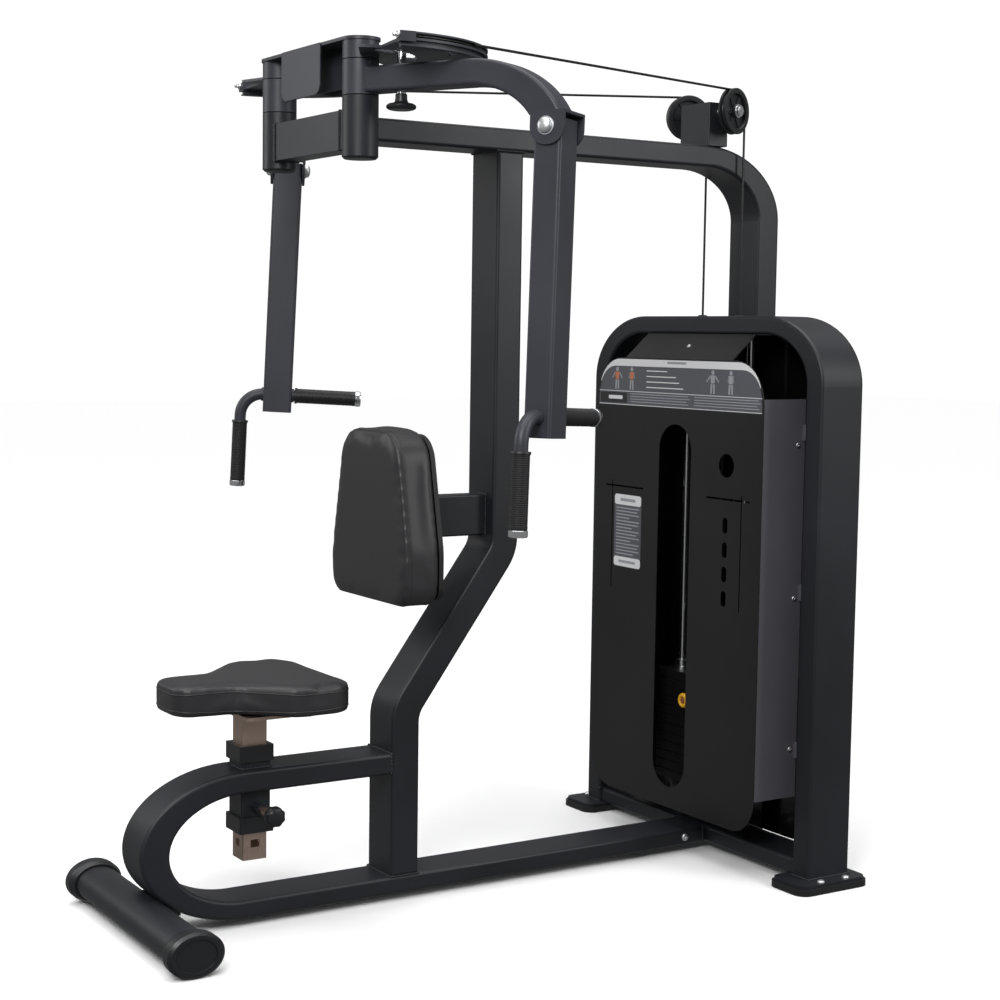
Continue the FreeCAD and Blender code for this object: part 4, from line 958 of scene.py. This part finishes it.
SCREW_RADIUS, BOLT_RADIUS = 6.0, 10.0
TOP_FLANGE_RUN, TOP_FLANGE_RISE = 75.0, 65.8    # of the sloping flange on top of the front sheet


def make_fasteners():
    """Button-head screws on the sheets and the arch's back, bolts on the foot plates and base."""
    tree, head = screw_tree(), socket_head()
    front, left, right = way(0, -1, 0), way(-1, 0, 0), way(1, 0, 0)
    small = [(at(0, -TOP_FLANGE_RUN / 2, 1327.9), way(0, -TOP_FLANGE_RISE, TOP_FLANGE_RUN))]
    for z in (324, 706, 1089):
        small += [(at(350, 38, z), right), (at(-350, 38, z), left)]
    for k in range(6):
        z = 180 + 225 * k
        small += [(at(-400, 123.2, z), way(0, 1, 0)), (at(400, 123.2, z), way(0, 1, 0))]
    made = grow(points_mesh("small_screws", small), tree, Head=head, Size=SCREW_RADIUS * MM,
                Finish=FINISH["zinc_bright"])
    keep_mesh("panel_screws", made, "zinc_bright", "frame", "chrome")
    large = [(at(60.2, -60, 41), right), (at(-60.2, -60, 41), left)]
    for side in (-1, 1):
        large += [(at(side * 500, 20, 24), way(0, 0, 1)), (at(side * 500, 100, 24), way(0, 0, 1))]
    made = grow(points_mesh("frame_bolts", large), tree, Head=head, Size=BOLT_RADIUS * MM,
                Finish=FINISH["zinc_bright"])
    keep_mesh("frame_bolts", made, "zinc_bright", "frame", "chrome")
    bpy.data.objects.remove(head)


def weld_line(points, closed=True):
    """Line of a weld through corners in mm, back to its start when it is closed."""
    return [at(*p) for p in (points + [points[0]] if closed else points)]


WELD_PITCH, BEAD_RADIUS = 3.4, 3.0


def make_welds():
    """Beads where the frame tubes meet."""
    w, g = 58, 1.0          # half a weld's length across the flat tube, and how far it stands off
    lines = [
        weld_line([(-w, -939 - g, 62), (w, -939 - g, 62), (w, -865 + g, 62), (-w, -865 + g, 62)]),
        weld_line([(w, -939 - g, 312), (w, -939 - g, 358)], False),
        weld_line([(-w, -939 - g, 312), (-w, -939 - g, 358)], False),
        weld_line([(-w, -939 - g, 360), (w, -939 - g, 360)], False),
        weld_line([(-w, -668 - g, 1786), (w, -668 - g, 1786), (w, -594 + g, 1786), (-w, -594 + g, 1786)]),
        weld_line([(-26, -669, 865), (26, -669, 865), (26, -669, 965), (-26, -669, 965)]),
        weld_line([(-37, -1316, 361), (37, -1316, 361), (37, -1242, 361), (-37, -1242, 361)]),
        weld_line([(60, 0, 20), (60, 0, 62)], False), weld_line([(-60, 0, 20), (-60, 0, 62)], False),
    ]
    for side in (-1, 1):
        x = side * 164.5
        lines.append(weld_line([(x, -1144, 1749), (x, -1144, 1834), (x, -1082, 1834), (x, -1082, 1749)]))
        lines.append(weld_line([(side * 414, 1, 62), (side * 414, 133, 62)], False))
        lines.append(weld_line([(side * 414, 0, 25), (side * 476, 0, 25)], False))
        lines.append(weld_line([(side * 476, 0, 25), (side * 476, 134, 25)], False))
    made = grow(lines_mesh("welds", lines), weld_tree(), Pitch=WELD_PITCH * MM, Bead=BEAD_RADIUS * MM, Seed=7,
                Finish=FINISH["frame"])
    keep_mesh("weld_beads", made, "frame", "frame", "frame_paint", crease=180)


def make_small_fittings():
    """Grommets where the cables pass the arch, collars round the guide rods, red strip in the slot."""
    shape = bmesh.new()
    up = way(0, 0, 1)
    for x in (-76.4, 76.4):
        centre = at(x, 66.3, 1407)
        lathe(shape, [(0, 6), (0, 13), (2.5, 12), (4, 9), (4, 6)], centre, up, 32)
    keep("cable_grommets", shape, "plastic", "frame", "plastic")
    shape = bmesh.new()
    low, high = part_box("lifted_plates")
    for x in (-128, 128):
        centre = Vector((x * MM, (low[1] + high[1]) / 2, high[2]))
        collar = [(0.3, 12.6), (0.3, 21), (3, 21), (4, 19), (22, 19), (23.5, 17.5), (23.5, 12.6)]
        lathe(shape, collar, centre, up, 40)
    keep("stack_collars", shape, "chrome", "stack", "chrome")
    shape = bmesh.new()
    prism(shape, [at(x, 9.4, z) for x, z in stadium(34, 58, 196, 372, 4)], Vector((0, -1.4 * MM, 0)))
    keep("number_strip", shape, "strip_red", "frame", "plastic")


def make_pieces():
    """Every piece, the same on both sides where the machine is."""
    make_cushions()
    for side, word in ((1, "right"), (-1, "left")):
        make_handles(side, word)
        make_pulley(side, word)
        make_index_pin(side, word)
        make_hinge_washers(side, word)
        make_cable_stud(side, word, 0.0 if side > 0 else LEFT_CAM_TURN)
        make_cable_drop(side, word)
    make_selector()
    make_seat_knob()
    make_placard()
    make_fasteners()
    make_welds()
    make_small_fittings()


place_camera()
build_studio()
paint_nodes()
make_pieces()
